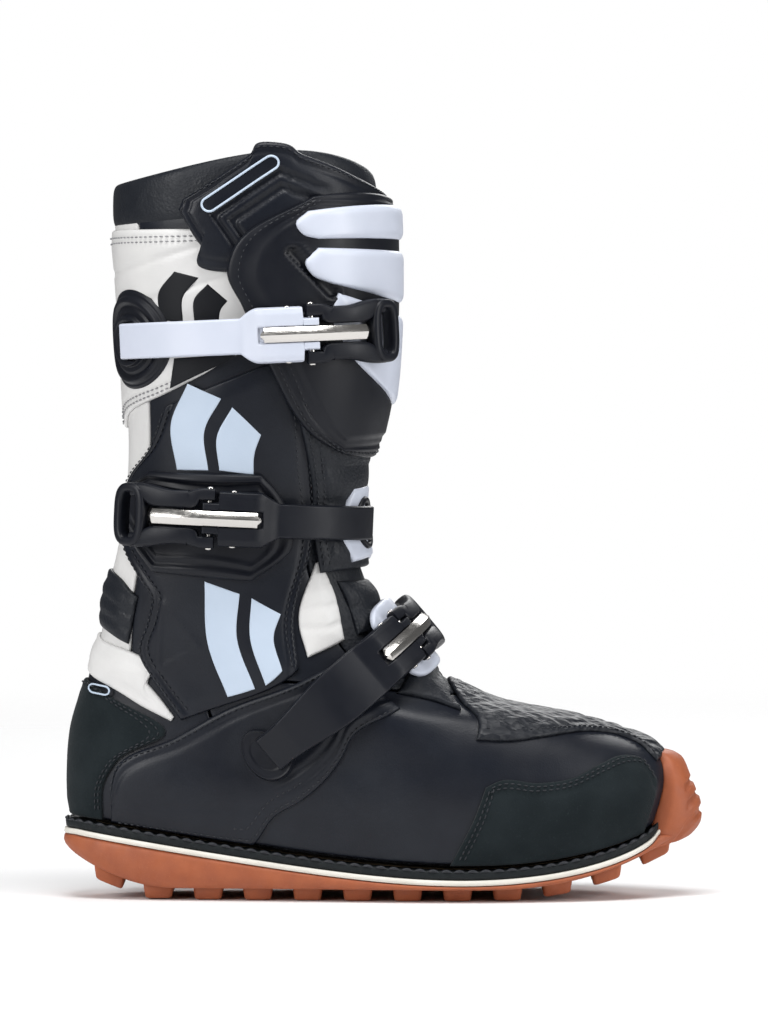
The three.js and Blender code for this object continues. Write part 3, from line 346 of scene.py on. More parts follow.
class Finish:
    """Material whose grain is worked out from object coordinates. Sizes and heights are in millimetres."""

    def __init__(self, name, colour, roughness, **sockets):
        self.material = bpy.data.materials.new(name)
        self.material.use_nodes = True
        self.tree = self.material.node_tree
        self.shader = self.tree.nodes["Principled BSDF"]
        self.colour = colour
        self.set(self.shader, **{"Base Color": (*colour, 1), "Roughness": roughness}, **sockets)
        self.place = self.tree.nodes.new("ShaderNodeTexCoord").outputs["Object"]

    def set(self, node, **values):
        for name, value in values.items():
            socket = node.inputs[name.replace("_", " ")]
            if isinstance(value, bpy.types.NodeSocket):
                self.tree.links.new(value, socket)
            else:
                socket.default_value = value

    def stretched(self, x=1.0, y=1.0, z=1.0):
        """Object coordinates drawn out along an axis."""
        node = self.tree.nodes.new("ShaderNodeVectorMath")
        node.operation = "MULTIPLY"
        self.tree.links.new(self.place, node.inputs[0])
        node.inputs[1].default_value = (1 / x, 1 / y, 1 / z)
        return node.outputs["Vector"]

    def noise(self, size, detail=4.0, place=None):
        node = self.tree.nodes.new("ShaderNodeTexNoise")
        self.set(node, Vector=place or self.place, Scale=1000 / size, Detail=detail)
        return node.outputs["Fac"]

    def cells(self, size, place=None):
        node = self.tree.nodes.new("ShaderNodeTexVoronoi")
        self.set(node, Vector=place or self.place, Scale=1000 / size)
        return node.outputs["Distance"]

    def waves(self, size, axis):
        node = self.tree.nodes.new("ShaderNodeTexWave")
        node.bands_direction = axis
        self.set(node, Vector=self.place, Scale=WAVE_BANDS / size, Distortion=0.0)
        return node.outputs["Fac"]

    def tinted(self, where, colour, low=0.35, high=0.7):
        """Mixes the colour towards another where the pattern is high."""
        step = self.tree.nodes.new("ShaderNodeMapRange")
        self.set(step, Value=where, **{"From Min": low, "From Max": high})
        mix = self.tree.nodes.new("ShaderNodeMix")
        mix.data_type = "RGBA"
        base = self.shader.inputs["Base Color"]
        old = base.links[0].from_socket if base.is_linked else (*self.colour, 1)
        self.set_at(mix, 6, old)
        self.set_at(mix, 7, (*colour, 1))
        self.set(mix, Factor=step.outputs["Result"])
        self.tree.links.new(mix.outputs[2], base)
        return self

    def set_at(self, node, index, value):
        if isinstance(value, bpy.types.NodeSocket):
            self.tree.links.new(value, node.inputs[index])
        else:
            node.inputs[index].default_value = value

    def dulled(self, where, low, high):
        """Roughness between low and high by the pattern."""
        step = self.tree.nodes.new("ShaderNodeMapRange")
        self.set(step, Value=where, **{"From Min": 0.3, "From Max": 0.7, "To Min": low, "To Max": high})
        self.set(self.shader, Roughness=step.outputs["Result"])
        return self

    def embossed(self, where, height):
        """Bump of that height over the ones before it."""
        node = self.tree.nodes.new("ShaderNodeBump")
        self.set(node, Height=where, Distance=height / 1000, Strength=1.0)
        normal = self.shader.inputs["Normal"]
        if normal.is_linked:
            self.tree.links.new(normal.links[0].from_socket, node.inputs["Normal"])
        self.tree.links.new(node.outputs["Normal"], normal)
        return self


def gather(*shells):
    """Several (points, quads) shells as one."""
    shift = np.cumsum([0] + [len(points) for points, _ in shells[:-1]])
    return (np.concatenate([points.reshape(-1, 3) for points, _ in shells]),
            np.concatenate([faces + k for (_, faces), k in zip(shells, shift)]))


# ---------------------------------------------------------------- insole
# The stiff core of the boot: a fibre board with a steel shank under the arch, a foam footbed over it, and the
# moulded toe box and heel counter that keep the leather in shape. They are glued between lining and leather.
board = Finish("fibre_board", (0.27, 0.18, 0.10), 0.9)
board.tinted(board.noise(3.0), (0.20, 0.13, 0.07)).embossed(board.noise(0.8), 0.12)
lining_cloth = Finish("lining_knit", (0.020, 0.022, 0.028), 0.92, Sheen_Weight=0.25)
lining_cloth.embossed(lining_cloth.waves(1.1, "X"), 0.18).embossed(lining_cloth.waves(1.1, "Z"), 0.18)
lining_cloth.tinted(lining_cloth.noise(2.0), (0.034, 0.036, 0.044))
steel = Finish("polished_steel", (0.62, 0.60, 0.575), 0.2, Metallic=1.0)
steel.dulled(steel.noise(0.5, 3.0, steel.stretched(x=30.0)), 0.13, 0.26)
steel.embossed(steel.noise(0.3, 2.0, steel.stretched(x=40.0)), 0.004)


def dress(finish, *nodes):
    """CAD pieces of the right shape keep it and get a finer material."""
    for node in nodes:
        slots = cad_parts[node].data.materials
        slots.clear()
        slots.append(finish.material)


dress(board, "insole_board", "toe_box", "heel_counter")
dress(lining_cloth, "footbed")
dress(steel, "shank")

# ---------------------------------------------------------------- outsole
# One moulding of gum rubber: a thin sole that sweeps up at both ends, blocks with rounded corners in rows of
# three, and a bumper that wraps the toe with slanted grooves. It is cemented under the midsole band.
gum = Finish("gum_rubber", (0.33, 0.085, 0.028), 0.6)
gum.tinted(gum.noise(9.0), (0.27, 0.065, 0.022)).tinted(gum.noise(0.5, 2.0), (0.39, 0.11, 0.04), 0.6, 0.8)
gum.dulled(gum.noise(5.0), 0.5, 0.72).embossed(gum.noise(0.45, 3.0), 0.05)

BOOT_LENGTH = 307.0
LUG_HEIGHT, LUG_PITCH, LUG_LENGTH, LUG_WIDTH, LUG_FIRST = 6.0, 23.8, 15.2, 24.0, 22.0
FEATHER_DROP, WELT_THICKNESS, BAND_THICKNESS, PART_GAP = 1.4, 4.0, 2.6, 0.35
WELT_REACH, BAND_REACH, SOLE_REACH = 5.0, 5.7, 5.8
THINNEST_SOLE = 1.8
TURN = np.linspace(-1, 1, 240, endpoint=False)


def feather_height(x):
    """Height of the lowest edge of the upper at x: level at both ends, sagging between."""
    s = np.clip((x - LAST[0, 0]) / (LAST[0, 2] - LAST[0, 0]), 0, 1)
    return LAST[0, 1] - LAST[0, 8] * np.maximum(0, np.sin(np.pi * s**1.7))**0.6


def sole_underside(x):
    """Height of the sole's underside: flat, rising to the heel and to the toe as powers of the distance, and
    kept under the sole's upper face."""
    rise = LUG_HEIGHT + 18.5 * np.clip((53 - x) / 53, 0, 1)**1.9 + 32 * np.clip((x - 200) / 107, 0, 1)**2.3
    return np.minimum(rise, sole_top(x) - THINNEST_SOLE)


def outline(reach, turn=TURN):
    """(x, y) of the lowest row of the last moved out level by reach."""
    along = (last_point(turn + 1e-3, 0) - last_point(turn - 1e-3, 0))[:, :2]
    out = np.stack([along[:, 1], -along[:, 0]], -1) / np.linalg.norm(along, axis=1)[:, None]
    return last_point(turn, 0)[:, :2] + out * np.broadcast_to(reach, turn.shape)[:, None]


def level_ring(reach, height, turn=TURN):
    """Ring round the sole at a reach, at the height that a function of x gives."""
    xy = outline(reach, turn)
    return np.concatenate([xy, height(xy[:, 0])[:, None]], 1)


def sole_ring_body(section):
    """Closed band round the sole: the section's corners (reach, height of x) carried round the outline."""
    rings = np.stack([level_ring(reach, height) for reach, height in section])
    return rings.reshape(-1, 3), quads(len(section), len(TURN), True, True)


def welt_top(x):
    return feather_height(x) - FEATHER_DROP


def below(height, drop):
    """The height function lowered by drop."""
    return lambda x: height(x) - drop


band_top = below(welt_top, WELT_THICKNESS + PART_GAP)
sole_top = below(band_top, BAND_THICKNESS + PART_GAP)


def mix_heights(share):
    return lambda x: sole_top(x) + (sole_underside(x) - sole_top(x)) * share


toe_swell = 9 * ease(np.abs(TURN), 0.88, 1)
side_section = [(-9.0, 0.0), (4.6, 0.0), (5.5, 0.06), (SOLE_REACH, 0.16), (SOLE_REACH + 0.25, 0.5), (5.3, 0.8),
                (3.9, 0.95), (2.6, 1.0), (0.0, 1.0)]
sole_rings = [level_ring(reach + toe_swell * (reach > 0), mix_heights(share)) for reach, share in side_section]
half = len(TURN) // 2
across = np.linspace(0, 1, 14)[:, None, None]


def sole_floor(ring):
    """Face that closes a ring: straight lines from its outer half to its inner half."""
    outer = ring[half:]
    inner = np.concatenate([ring[half:half + 1], ring[1:half][::-1]])
    return outer * (1 - across) + inner * across


under_face = sole_floor(sole_rings[-1])
under_face[..., 2] = sole_underside(under_face[..., 0])
top_face = sole_floor(sole_rings[0])
sole_shell = gather((np.stack(sole_rings).reshape(-1, 3), quads(len(sole_rings), len(TURN), False, True)),
                    (under_face.reshape(-1, 3), quads(*under_face.shape[:2])),
                    (top_face.reshape(-1, 3), quads(*top_face.shape[:2])[:, ::-1]))


def lug_block(x, y, width):
    """Block as a superellipsoid, narrower below, sheared to the slope that it stands on."""
    wide, tall = np.meshgrid(np.linspace(-np.pi, np.pi, 24, endpoint=False), np.linspace(-1.5, 1.5, 11), indexing="ij")
    blunt = 0.28
    ring = np.abs(np.cos(tall))**blunt
    px = ring * squared(np.cos(wide), blunt) * LUG_LENGTH / 2
    py = ring * squared(np.sin(wide), blunt) * width / 2
    root = 3.0
    pz = (np.sign(tall) * np.abs(np.sin(tall))**blunt + 1) / 2 * (LUG_HEIGHT + root)
    taper = 0.84 + 0.16 * pz / (LUG_HEIGHT + root)
    rise = np.clip((sole_underside(x + 5.0) - sole_underside(x - 5.0)) / 10, -0.5, 0.8)
    slope = 0 if abs(rise) < 0.14 else rise
    points = np.stack([x + px * taper, y + py * taper, sole_underside(x) - LUG_HEIGHT + pz + slope * px * taper], -1)
    faces = quads(24, 11, True, False)
    poles = points[:, [0, -1]].mean(0)
    fan = np.arange(24)
    count = points.shape[0] * points.shape[1]
    low_cap = np.stack([np.full(24, count), (fan + 1) % 24 * 11, fan * 11, fan * 11], -1)
    high_cap = np.stack([np.full(24, count + 1), fan * 11 + 10, (fan + 1) % 24 * 11 + 10, (fan + 1) % 24 * 11 + 10], -1)
    return np.concatenate([points.reshape(-1, 3), poles]), np.concatenate([faces, low_cap, high_cap])


lug_shells = []
edge_ring = sole_rings[-2]
for x in np.arange(LUG_FIRST, BOOT_LENGTH - 20, LUG_PITCH):
    near = np.argsort(np.abs(edge_ring[:half, 0] - x))[0], half + np.argsort(np.abs(edge_ring[half:, 0] - x))[0]
    inner_y, outer_y = edge_ring[near[0], 1], edge_ring[near[1], 1]
    room = (inner_y - outer_y - 3) / 3
    for n in range(3):
        lug_shells.append(lug_block(x, outer_y + 1.5 + (n + 0.5) * room, min(LUG_WIDTH, room - 4)))

# The bumper's outer face stands out level from the toe by a table of heights. It thins towards both sides, and
# three grooves run across its face, rising at 45 degrees to the front.
BUMPER_SPAN, BUMPER_FOOT, BUMPER_HEAD, BUMPER_LIP = 0.082, -0.5, 1.9, 5.4
GROOVE_FIRST, GROOVE_PITCH, GROOVE_DEPTH = -264.6, 9.3, 1.3
BUMPER_REACH = np.array([[20, 9], [24, 12.5], [28, 17], [31.7, 20.2], [35.7, 21.9], [39.6, 21.6], [47.5, 18.3],
                         [52.8, 14.6], [58.7, 11.4], [63.8, 10.2], [68, 9.6], [71, 7.5]])
bumper_across = paced(70, 0.9)[:, None]
bumper_up = paced(62, 0.8)[None, :]
bumper_u = 1 + BUMPER_SPAN * (2 * bumper_across - 1) * (1 - 0.42 * bumper_up**2)
bumper_v = BUMPER_FOOT + (BUMPER_HEAD - BUMPER_FOOT) * bumper_up + 0 * bumper_across
bumper_ground = last_point(bumper_u, bumper_v)
bumper_way = last_normal(bumper_u, bumper_v) * [1, 1, 0]
bumper_way /= np.linalg.norm(bumper_way, axis=-1, keepdims=True)
reach_curve = flowing(BUMPER_REACH)
side = np.abs(2 * bumper_across - 1) + 0 * bumper_up
bumper_reach = np.interp(bumper_ground[..., 2], reach_curve[:, 0], reach_curve[:, 1])
bumper_reach = BUMPER_LIP + (bumper_reach - BUMPER_LIP) * np.maximum(0, 1 - side**2.4)
bumper_face = bumper_ground + bumper_way * bumper_reach[..., None]
groove_run = (bumper_face[..., 2] - bumper_face[..., 0] - GROOVE_FIRST) / GROOVE_PITCH
groove = ease(0.5 - np.abs(groove_run - np.round(groove_run)), 0.22, 0.34) * (np.abs(groove_run - 1) < 1.5)
groove = groove * (1 - ease(side, 0.62, 0.70))
bumper_face = bumper_face - bumper_way * (GROOVE_DEPTH * groove)[..., None]
bumper_under = lifted(bumper_u, bumper_v, np.full(bumper_u.shape, 1.2))
border = np.minimum(inset(bumper_ground) / 1.6, 1)
bumper_top = bumper_under + (bumper_face - bumper_under) * np.sqrt(1 - (1 - border)**2)[..., None]
make_piece("outsole_gum", *gather(sole_shell, *lug_shells), gum.material, "boot", "gum_rubber", ["outsole"])
make_piece("toe_bumper", *closed_sheet(bumper_top, bumper_under), gum.material, "boot", "gum_rubber")

# ---------------------------------------------------------------- midsole band and welt
# A strip of cream rubber lies between the outsole and the welt. The welt is a strip of hard black rubber that
# the upper is sewn to with thick waxed thread, so its edge is a little uneven.
cream = Finish("cream_rubber", (0.70, 0.675, 0.615), 0.5)
cream.tinted(cream.noise(14.0), (0.64, 0.615, 0.55)).embossed(cream.noise(0.8, 3.0), 0.03)
welt_rubber = Finish("welt_rubber", (0.0065, 0.009, 0.0105), 0.6, Specular_IOR_Level=0.25)
welt_rubber.dulled(welt_rubber.noise(3.0), 0.5, 0.75).embossed(welt_rubber.noise(0.7, 3.0), 0.12)

band_section = [(-9.0, band_top), (BAND_REACH - 0.5, band_top), (BAND_REACH - 0.1, below(band_top, 0.25)),
                (BAND_REACH + 0.15, below(band_top, BAND_THICKNESS / 2)),
                (BAND_REACH - 0.1, below(band_top, BAND_THICKNESS - 0.25)),
                (BAND_REACH - 0.5, below(band_top, BAND_THICKNESS)), (-9.0, below(band_top, BAND_THICKNESS))]
make_piece("midsole_strip", *sole_ring_body(band_section), cream.material, "boot", "cream_rubber", ["midsole_band"])

ripple = 0.22 * np.sin(TURN * 250) + 0.16 * np.sin(TURN * 397 + 1) + 0.14 * np.sin(TURN * 91 + 2)
welt_section = [(-9.0, welt_top), (WELT_REACH - 0.9, welt_top), (WELT_REACH - 0.3 + ripple, below(welt_top, 0.3)),
                (WELT_REACH + ripple, below(welt_top, 1.0)), (WELT_REACH + ripple / 2, below(welt_top, 2.4)),
                (WELT_REACH - 0.1, below(welt_top, 3.4)), (WELT_REACH - 0.6, below(welt_top, WELT_THICKNESS)),
                (-9.0, below(welt_top, WELT_THICKNESS))]
make_piece("welt_strip", *sole_ring_body(welt_section), welt_rubber.material, "boot", "black_welt", ["welt"])

thread_black = Finish("thread_black", (0.013, 0.0150, 0.020), 0.5, Specular_IOR_Level=0.4)
thread_black.embossed(thread_black.noise(0.3, 2.0), 0.05)
thread_grey = Finish("thread_grey", (0.24, 0.24, 0.25), 0.7)
thread_grey.embossed(thread_grey.noise(0.3, 2.0), 0.05)


def stitch_shell(points, normals, pitch, length, radius):
    """Stitches along a line on a surface: each is a grain, thick in the middle, that dips in at its ends."""
    run = np.r_[0, np.cumsum(np.linalg.norm(np.diff(points, axis=0), axis=1))]
    count = max(1, int(run[-1] / pitch))
    middle = (np.arange(count) + 0.5) * run[-1] / count

    def at(goal, values):
        return np.stack([np.interp(goal, run, values[:, k]) for k in range(3)], -1)
    centre, out = at(middle, points), at(middle, normals)
    along = at(middle + 0.5, points) - at(middle - 0.5, points)
    along /= np.linalg.norm(along, axis=1, keepdims=True)
    aside = np.cross(out, along)
    share, turn = np.meshgrid(np.linspace(-1, 1, 5), full_turn(6), indexing="ij")
    thick = radius * np.sqrt(np.clip(1.02 - share**2, 0, 1))
    local = [share * length / 2, thick * np.cos(turn), thick * np.sin(turn) - radius * 0.9 * share**2]
    grains = sum(part[None, ..., None] * axis[:, None, None, :] for part, axis in zip(local, (along, aside, out)))
    grains = grains + centre[:, None, None, :]
    faces = quads(5, 6, False, True)
    return grains.reshape(-1, 3), (faces[None] + (np.arange(count) * 30)[:, None, None]).reshape(-1, 4)


welt_turn = np.linspace(-0.91, 0.91, 900)
welt_line = level_ring(WELT_REACH - 0.25, below(welt_top, -0.1), welt_turn)
welt_out = np.stack([np.zeros(900), -np.sign(welt_turn) * 0.5, np.ones(900)], -1)
welt_out /= np.linalg.norm(welt_out, axis=1, keepdims=True)
make_piece("welt_stitches", *stitch_shell(welt_line, welt_out, 6.2, 6.0, 0.85), thread_black.material, "boot",
           "black_welt")

# ---------------------------------------------------------------- lining and padded collar
# A knitted lining stands inside the whole boot, and at its top a roll of foam under soft leather is sewn round
# the mouth. The roll is blown up by a cloth simulation between its two seams.
black_leather = Finish("black_leather", (0.0056, 0.0070, 0.0118), 0.38, Specular_IOR_Level=0.27)
black_leather.dulled(black_leather.noise(18.0), 0.33, 0.46).tinted(black_leather.noise(30.0), (0.009, 0.0112, 0.017))
black_leather.embossed(black_leather.noise(22.0, 2.0), 0.35).embossed(black_leather.cells(0.9), 0.035)
soft_leather = Finish("soft_leather", (0.0075, 0.0095, 0.0140), 0.5, Specular_IOR_Level=0.3)
soft_leather.dulled(soft_leather.noise(9.0), 0.42, 0.58).embossed(soft_leather.noise(7.0, 3.0), 0.35)
soft_leather.embossed(soft_leather.cells(1.3), 0.12)


def tube(section, turn):
    """Closed ring round the leg: a loop of (v, lift) corners carried round the last."""
    section = np.asarray(section, float)
    u, v = np.meshgrid(turn, section[:, 0], indexing="ij")
    points = lifted(u, v, np.broadcast_to(section[:, 1], u.shape))
    return points.reshape(-1, 3), quads(len(turn), len(section), True, True)


leg_turn = np.linspace(-1, 1, 120, endpoint=False)
lining_rows = np.linspace(0.12, 12.95, 70)
lining_loop = np.concatenate([np.stack([lining_rows, np.full(70, -4.6)], -1),
                              np.stack([lining_rows[::-1], np.full(70, -7.0)], -1)])
make_piece("lining_sleeve", *tube(lining_loop, leg_turn), lining_cloth.material, "boot", "lining_textile", ["lining"])

COLLAR_LOW, COLLAR_HIGH = 12.86, 14.05
sweep = full_turn(36)
collar_v = (COLLAR_LOW + COLLAR_HIGH) / 2 - (COLLAR_HIGH - COLLAR_LOW) / 2 * np.sign(np.cos(sweep)) * np.abs(
    np.cos(sweep))**0.5
collar_lift = -2.2 + 4.6 * squared(np.sin(sweep), 0.6)
collar_points, collar_faces = tube(np.stack([collar_v, collar_lift], -1), np.linspace(-1, 1, 160, endpoint=False))
collar = make_piece("collar_roll", collar_points, collar_faces, soft_leather.material, "boot", "black_leather",
                    ["collar"])
SWELL_LIMIT = 0.0022


def inflate(piece, held, pressure, frames=14):
    """Cloth simulation with air pressure and no gravity; held points stay, and none moves past the limit."""
    rest = np.empty(len(piece.data.vertices) * 3)
    piece.data.vertices.foreach_get("co", rest)
    group = piece.vertex_groups.new(name="seam")
    group.add(np.flatnonzero(held).tolist(), 1.0, "REPLACE")
    cloth = piece.modifiers.new("Cloth", "CLOTH")
    cloth.settings.use_pressure = True
    cloth.settings.uniform_pressure_force = pressure
    cloth.settings.vertex_group_mass = "seam"
    cloth.settings.effector_weights.gravity = 0
    cloth.settings.mass = 0.2
    cloth.settings.tension_stiffness = cloth.settings.compression_stiffness = 20
    cloth.settings.quality = 4
    for number in range(1, frames + 1):
        bpy.context.scene.frame_set(number)
    shaped = piece.evaluated_get(bpy.context.evaluated_depsgraph_get()).data
    moved = np.empty_like(rest)
    shaped.vertices.foreach_get("co", moved)
    step = (moved - rest).reshape(-1, 3)
    length = np.maximum(np.linalg.norm(step, axis=1, keepdims=True), 1e-9)
    capped = rest.reshape(-1, 3) + step / length * np.minimum(length, SWELL_LIMIT)
    piece.modifiers.remove(cloth)
    bpy.context.scene.frame_set(1)
    piece.data.vertices.foreach_set("co", capped.ravel())
    piece.data.update()


collar_held = np.tile(np.cos(sweep) > 0.93, 160)
inflate(collar, collar_held, 3.0)

# ---------------------------------------------------------------- skins
# The first layer of leather, sewn to the last's shape: a quarter round the heel, the vamp over the foot, and
# round the leg a white strip at the back, two black sides and the tongue at the front.
white_leather = Finish("white_leather", (0.66, 0.655, 0.645), 0.42)
white_leather.tinted(white_leather.noise(25.0), (0.61, 0.605, 0.60)).dulled(white_leather.noise(8.0), 0.36, 0.5)
white_leather.embossed(white_leather.noise(12.0, 2.0), 0.25).embossed(white_leather.cells(0.9), 0.03)
pebbled = Finish("pebbled_leather", (0.0075, 0.0095, 0.0140), 0.55, Specular_IOR_Level=0.3)
pebbled.dulled(pebbled.noise(6.0), 0.46, 0.62).embossed(pebbled.cells(1.5), 0.22)
SKIN_TOP = 1.6
HEEL_SEAM, REAR_SEAM, TONGUE_SEAM = 0.33, 0.2, 0.7
SHAFT_FOOT, SHAFT_HEAD = 4.25, 13.0


def strip_of_last(u0, u1, v0, v1):
    return Patch(level(u0, [v0, v1]), level(u1, [v0, v1]))


def skin(name, u0, u1, v0, v1, finish, slot, node, step=2.2):
    panel(name, strip_of_last(u0, u1, v0, v1), 0.0, SKIN_TOP, finish, slot, node, step=step, crown=0.0)


skin("heel_skin", -HEEL_SEAM, HEEL_SEAM, 0.07, 4.2, black_leather, "black_leather", "heel_quarter")
skin("vamp_skin", HEEL_SEAM + 0.003, 2 - HEEL_SEAM - 0.003, 0.07, 4.2, black_leather, "black_leather", "vamp", 1.8)
skin("rear_skin", -REAR_SEAM, REAR_SEAM, SHAFT_FOOT, SHAFT_HEAD, white_leather, "white_leather", "shaft_rear")
for number, name in ((1, "outer"), (-1, "inner")):
    edges = sorted((number * REAR_SEAM, number * TONGUE_SEAM))
    skin(f"{name}_side_skin", edges[0] + 0.003, edges[1] - 0.003, SHAFT_FOOT, SHAFT_HEAD, black_leather,
         "black_leather", f"shaft_{name}")
skin("tongue_skin", TONGUE_SEAM, 2 - TONGUE_SEAM, SHAFT_FOOT, SHAFT_HEAD, pebbled, "black_leather", "tongue")

# ---------------------------------------------------------------- guards and panels
# The second layer: suede guards at toe and heel, smooth leather over ankle and quarter, white leather at the
# calf and the achilles tendon. Each is padded a little, sewn down along its edge and rolled at the rim.
suede = Finish("black_suede", (0.0075, 0.0115, 0.0135), 0.95, Sheen_Weight=0.06, Sheen_Roughness=0.45,
               Specular_IOR_Level=0.15)
suede.tinted(suede.noise(16.0), (0.012, 0.017, 0.0195)).tinted(suede.noise(0.9, 2.0), (0.02, 0.026, 0.029), 0.62, 0.8)
suede.embossed(suede.noise(0.55, 3.0), 0.22)
OVER_BASE, OVER_TOP = 1.65, 4.2


def ridge(distance, at, width, height):
    """Rounded ridge (or groove, if height is below 0) that runs at one distance."""
    return height * np.exp(-((distance - at) / width)**2)


def segment(g, start, end):
    """Distance in the side view from the line between two points."""
    start, end = np.array(start, float), np.array(end, float)
    run = end - start
    share = np.clip(((g.x - start[0]) * run[0] + (g.z - start[1]) * run[1]) / (run @ run), 0, 1)
    return np.hypot(g.x - start[0] - share * run[0], g.z - start[1] - share * run[1])


stitch_lines = {}


def sew(thread, patch, side, inset_mm, lift, body="boot", trim=3.0, pitch=3.1, length=2.2, radius=0.36):
    """Adds a row of stitches inside one border of a patch, to be made into pieces per thread and body."""
    if side in ("first", "last"):
        share = inset_mm / patch.across
        ends = np.linspace(trim / patch.along, 1 - trim / patch.along, 400)
        uv = patch.at(share if side == "first" else 1 - share, ends)
    else:
        share = inset_mm / patch.along
        ends = np.linspace(trim / patch.across, 1 - trim / patch.across, 400)
        uv = patch.at(ends, share if side == "start" else 1 - share)
    points = lifted(uv[:, 0], uv[:, 1], lift)
    shell = stitch_shell(points, last_normal(uv[:, 0], uv[:, 1]), pitch, length, radius)
    stitch_lines.setdefault((thread, body), []).append(shell)


def overlay(name, patch, finish, slot, node, relief=None, base=OVER_BASE, top=OVER_TOP, **options):
    """Panel at the height of the second layer."""
    return panel(name, patch, base, top, finish, slot, node, relief=relief, **options)


TOE_GUARD = ([[185, 18], [215, 18.5], [240, 21], [260, 25], [276, 31.5]],
             [[201.6, 55], [208, 58], [226.6, 56.8], [242.4, 58.6], [256, 64.5], [265, 67.6], [274, 66.5], [282, 58]])
ANKLE = ([[24, 37], [58, 29.5], [90.7, 26.5], [101.8, 40.8], [114.7, 48.5], [124.8, 57], [133.4, 68], [139, 79],
          [161, 91]],
         [[24, 50], [26, 62], [54.7, 78], [79.7, 92], [112.8, 104.5], [137, 116]])
QUARTER = ([[57, 86], [46.5, 101.5], [37.5, 118], [42, 134], [43.5, 145], [39.2, 152], [31.8, 167], [30.5, 177],
            [35, 202], [43.5, 215], [51, 236]],
           [[113, 110.5], [110.5, 133], [118, 171.4], [117.6, 219.8], [112, 262]])
SIDE_GUSSET = ([[120, 161], [112.5, 134], [117, 116]], [[122, 162], [129, 146], [134, 124]])


def guard_relief(g):
    return ridge(g.last, 2.6, 1.1, 0.35) + ridge(g.last, 6.2, 0.9, -0.35)


def ankle_relief(g):
    """Three ribs beside the lower front edge, a channel under the upper edge and a pressed line."""
    front = ease(g.x, 96, 112)
    ribs = sum(ridge(g.first, at, 1.5, 0.8) for at in (4.5, 10.0, 15.5)) * front
    line = ridge(segment(g, (38, 45), (100, 45)), 0, 0.8, -0.3) * (1 - front)
    return ribs + line + ridge(g.last, 5.5, 1.3, -0.5) + ridge(g.last, 2.6, 1.4, 0.45)


def quarter_relief(g):
    """Piping along both edges, and a rounded triangle of ridges above the ankle."""
    corners = [(47, 110), (49, 143), (67, 121), (47, 110)]
    triangle = np.minimum.reduce([segment(g, start, end) for start, end in zip(corners, corners[1:])])
    piping = ridge(g.first, 2.2, 1.2, 0.75) + ridge(g.first, 5.4, 0.9, -0.4)
    return piping + ridge(g.last, 2.2, 1.2, 0.75) + ridge(g.last, 5.4, 0.9, -0.4) + ridge(triangle, 0, 1.1, 0.5)


def quilted(g):
    """Three shallow channels across the white triangle."""
    return sum(ridge(g.start, at, 0.9, -0.8) for at in (12.0, 22.0, 32.0)) - 0.2


for side_name, side in (("outer", OUTER), ("inner", INNER)):
    toe = Patch(*(rail(points, side) for points in TOE_GUARD))
    overlay(f"toe_guard_{side_name}_suede", toe, suede, "suede", f"toe_guard_{side_name}", guard_relief)
    sew("black", toe, "last", 2.6, 4.05)
    sew("black", toe, "last", 5.0, 4.2)
    sew("black", toe, "start", 2.6, 4.0)
    sew("black", toe, "start", 5.0, 4.15)
    ankle = Patch(*(rail(points, side) for points in ANKLE))
    overlay(f"ankle_panel_{side_name}_leather", ankle, black_leather, "black_leather", f"ankle_panel_{side_name}",
            ankle_relief)
    sew("black", ankle, "last", 2.4, 4.35)
    sew("black", ankle, "first", 2.2, 3.7)
    sew("black", ankle, "first", 7.3, 4.3, trim=90)
    quarter = Patch(*(rail(points, side) for points in QUARTER))
    overlay(f"quarter_{side_name}_leather", quarter, black_leather, "black_leather", f"quarter_{side_name}",
            quarter_relief)
    for edge in ("first", "last"):
        sew("black", quarter, edge, 2.2, 4.7)
        sew("black", quarter, edge, 6.8, 4.2)
    gusset = Patch(*(rail(points, side) for points in SIDE_GUSSET))
    overlay(f"side_gusset_{side_name}_leather", gusset, white_leather, "white_leather",
                      f"side_gusset_{side_name}", quilted)

HEEL_EDGE = [[20, 38], [21, 56], [27, 66], [50, 80], [24, 96.5], [14, 103]]
heel = Patch(rail(HEEL_EDGE), level(0, [0.03, 1, 1.6, 2.4, 3.1, 3.55]), rail(HEEL_EDGE, INNER))


def heel_relief(g):
    """A raised seam up each side of the heel, and a fold under the upper edge."""
    return ridge(np.abs(g.x - 24), 0, 1.4, 0.5) + ridge(g.end, 2.4, 1.2, 0.3)


overlay("heel_cover_suede", heel, suede, "suede", "heel_cover", heel_relief)
for edge in ("first", "last"):
    sew("black", heel, edge, 2.4, 3.9)
    sew("black", heel, edge, 5.2, 4.15)
sew("black", heel, "end", 2.4, 4.1)

ACHILLES = ([[52.5, 85.5], [40, 91.5], [23, 101.5], [14, 108]], [[54, 87.5], [42, 103], [32.5, 119], [19, 126]])
GUSSET = ([[32.5, 122], [20.5, 129]], [[37.5, 145], [25.5, 156]])
CALF = ([[100, 268], [84, 260.5], [66.2, 250], [50, 241.5], [32.5, 229.5]],
        [[100, 320.5], [70, 320], [48, 320], [32, 320]])
achilles = Patch(round_back(ACHILLES[0], 110), round_back(ACHILLES[1], 127))
overlay("achilles_pad_leather", achilles, white_leather, "white_leather", "achilles_pad",
                  lambda g: ridge(g.rim, 4.0, 1.0, -0.3))
rear = Patch(round_back(GUSSET[0], 130), round_back(GUSSET[1], 157))
overlay("rear_gusset_leather", rear, soft_leather, "black_leather", "rear_gusset",
                  lambda g: 0.7 * np.abs(np.sin(g.first / 7.5 * np.pi)) - 0.4)
calf = Patch(round_back(CALF[0], 225), round_back(CALF[1], 320))


def calf_relief(g):
    """Two quilting lines that slant up to the front, and a sewn lower edge."""
    slant = g.z - 0.33 * g.x
    return ridge(slant, 272, 1.4, -0.7) + ridge(slant, 290, 1.4, -0.7) + ridge(g.first, 5.0, 0.9, -0.3)


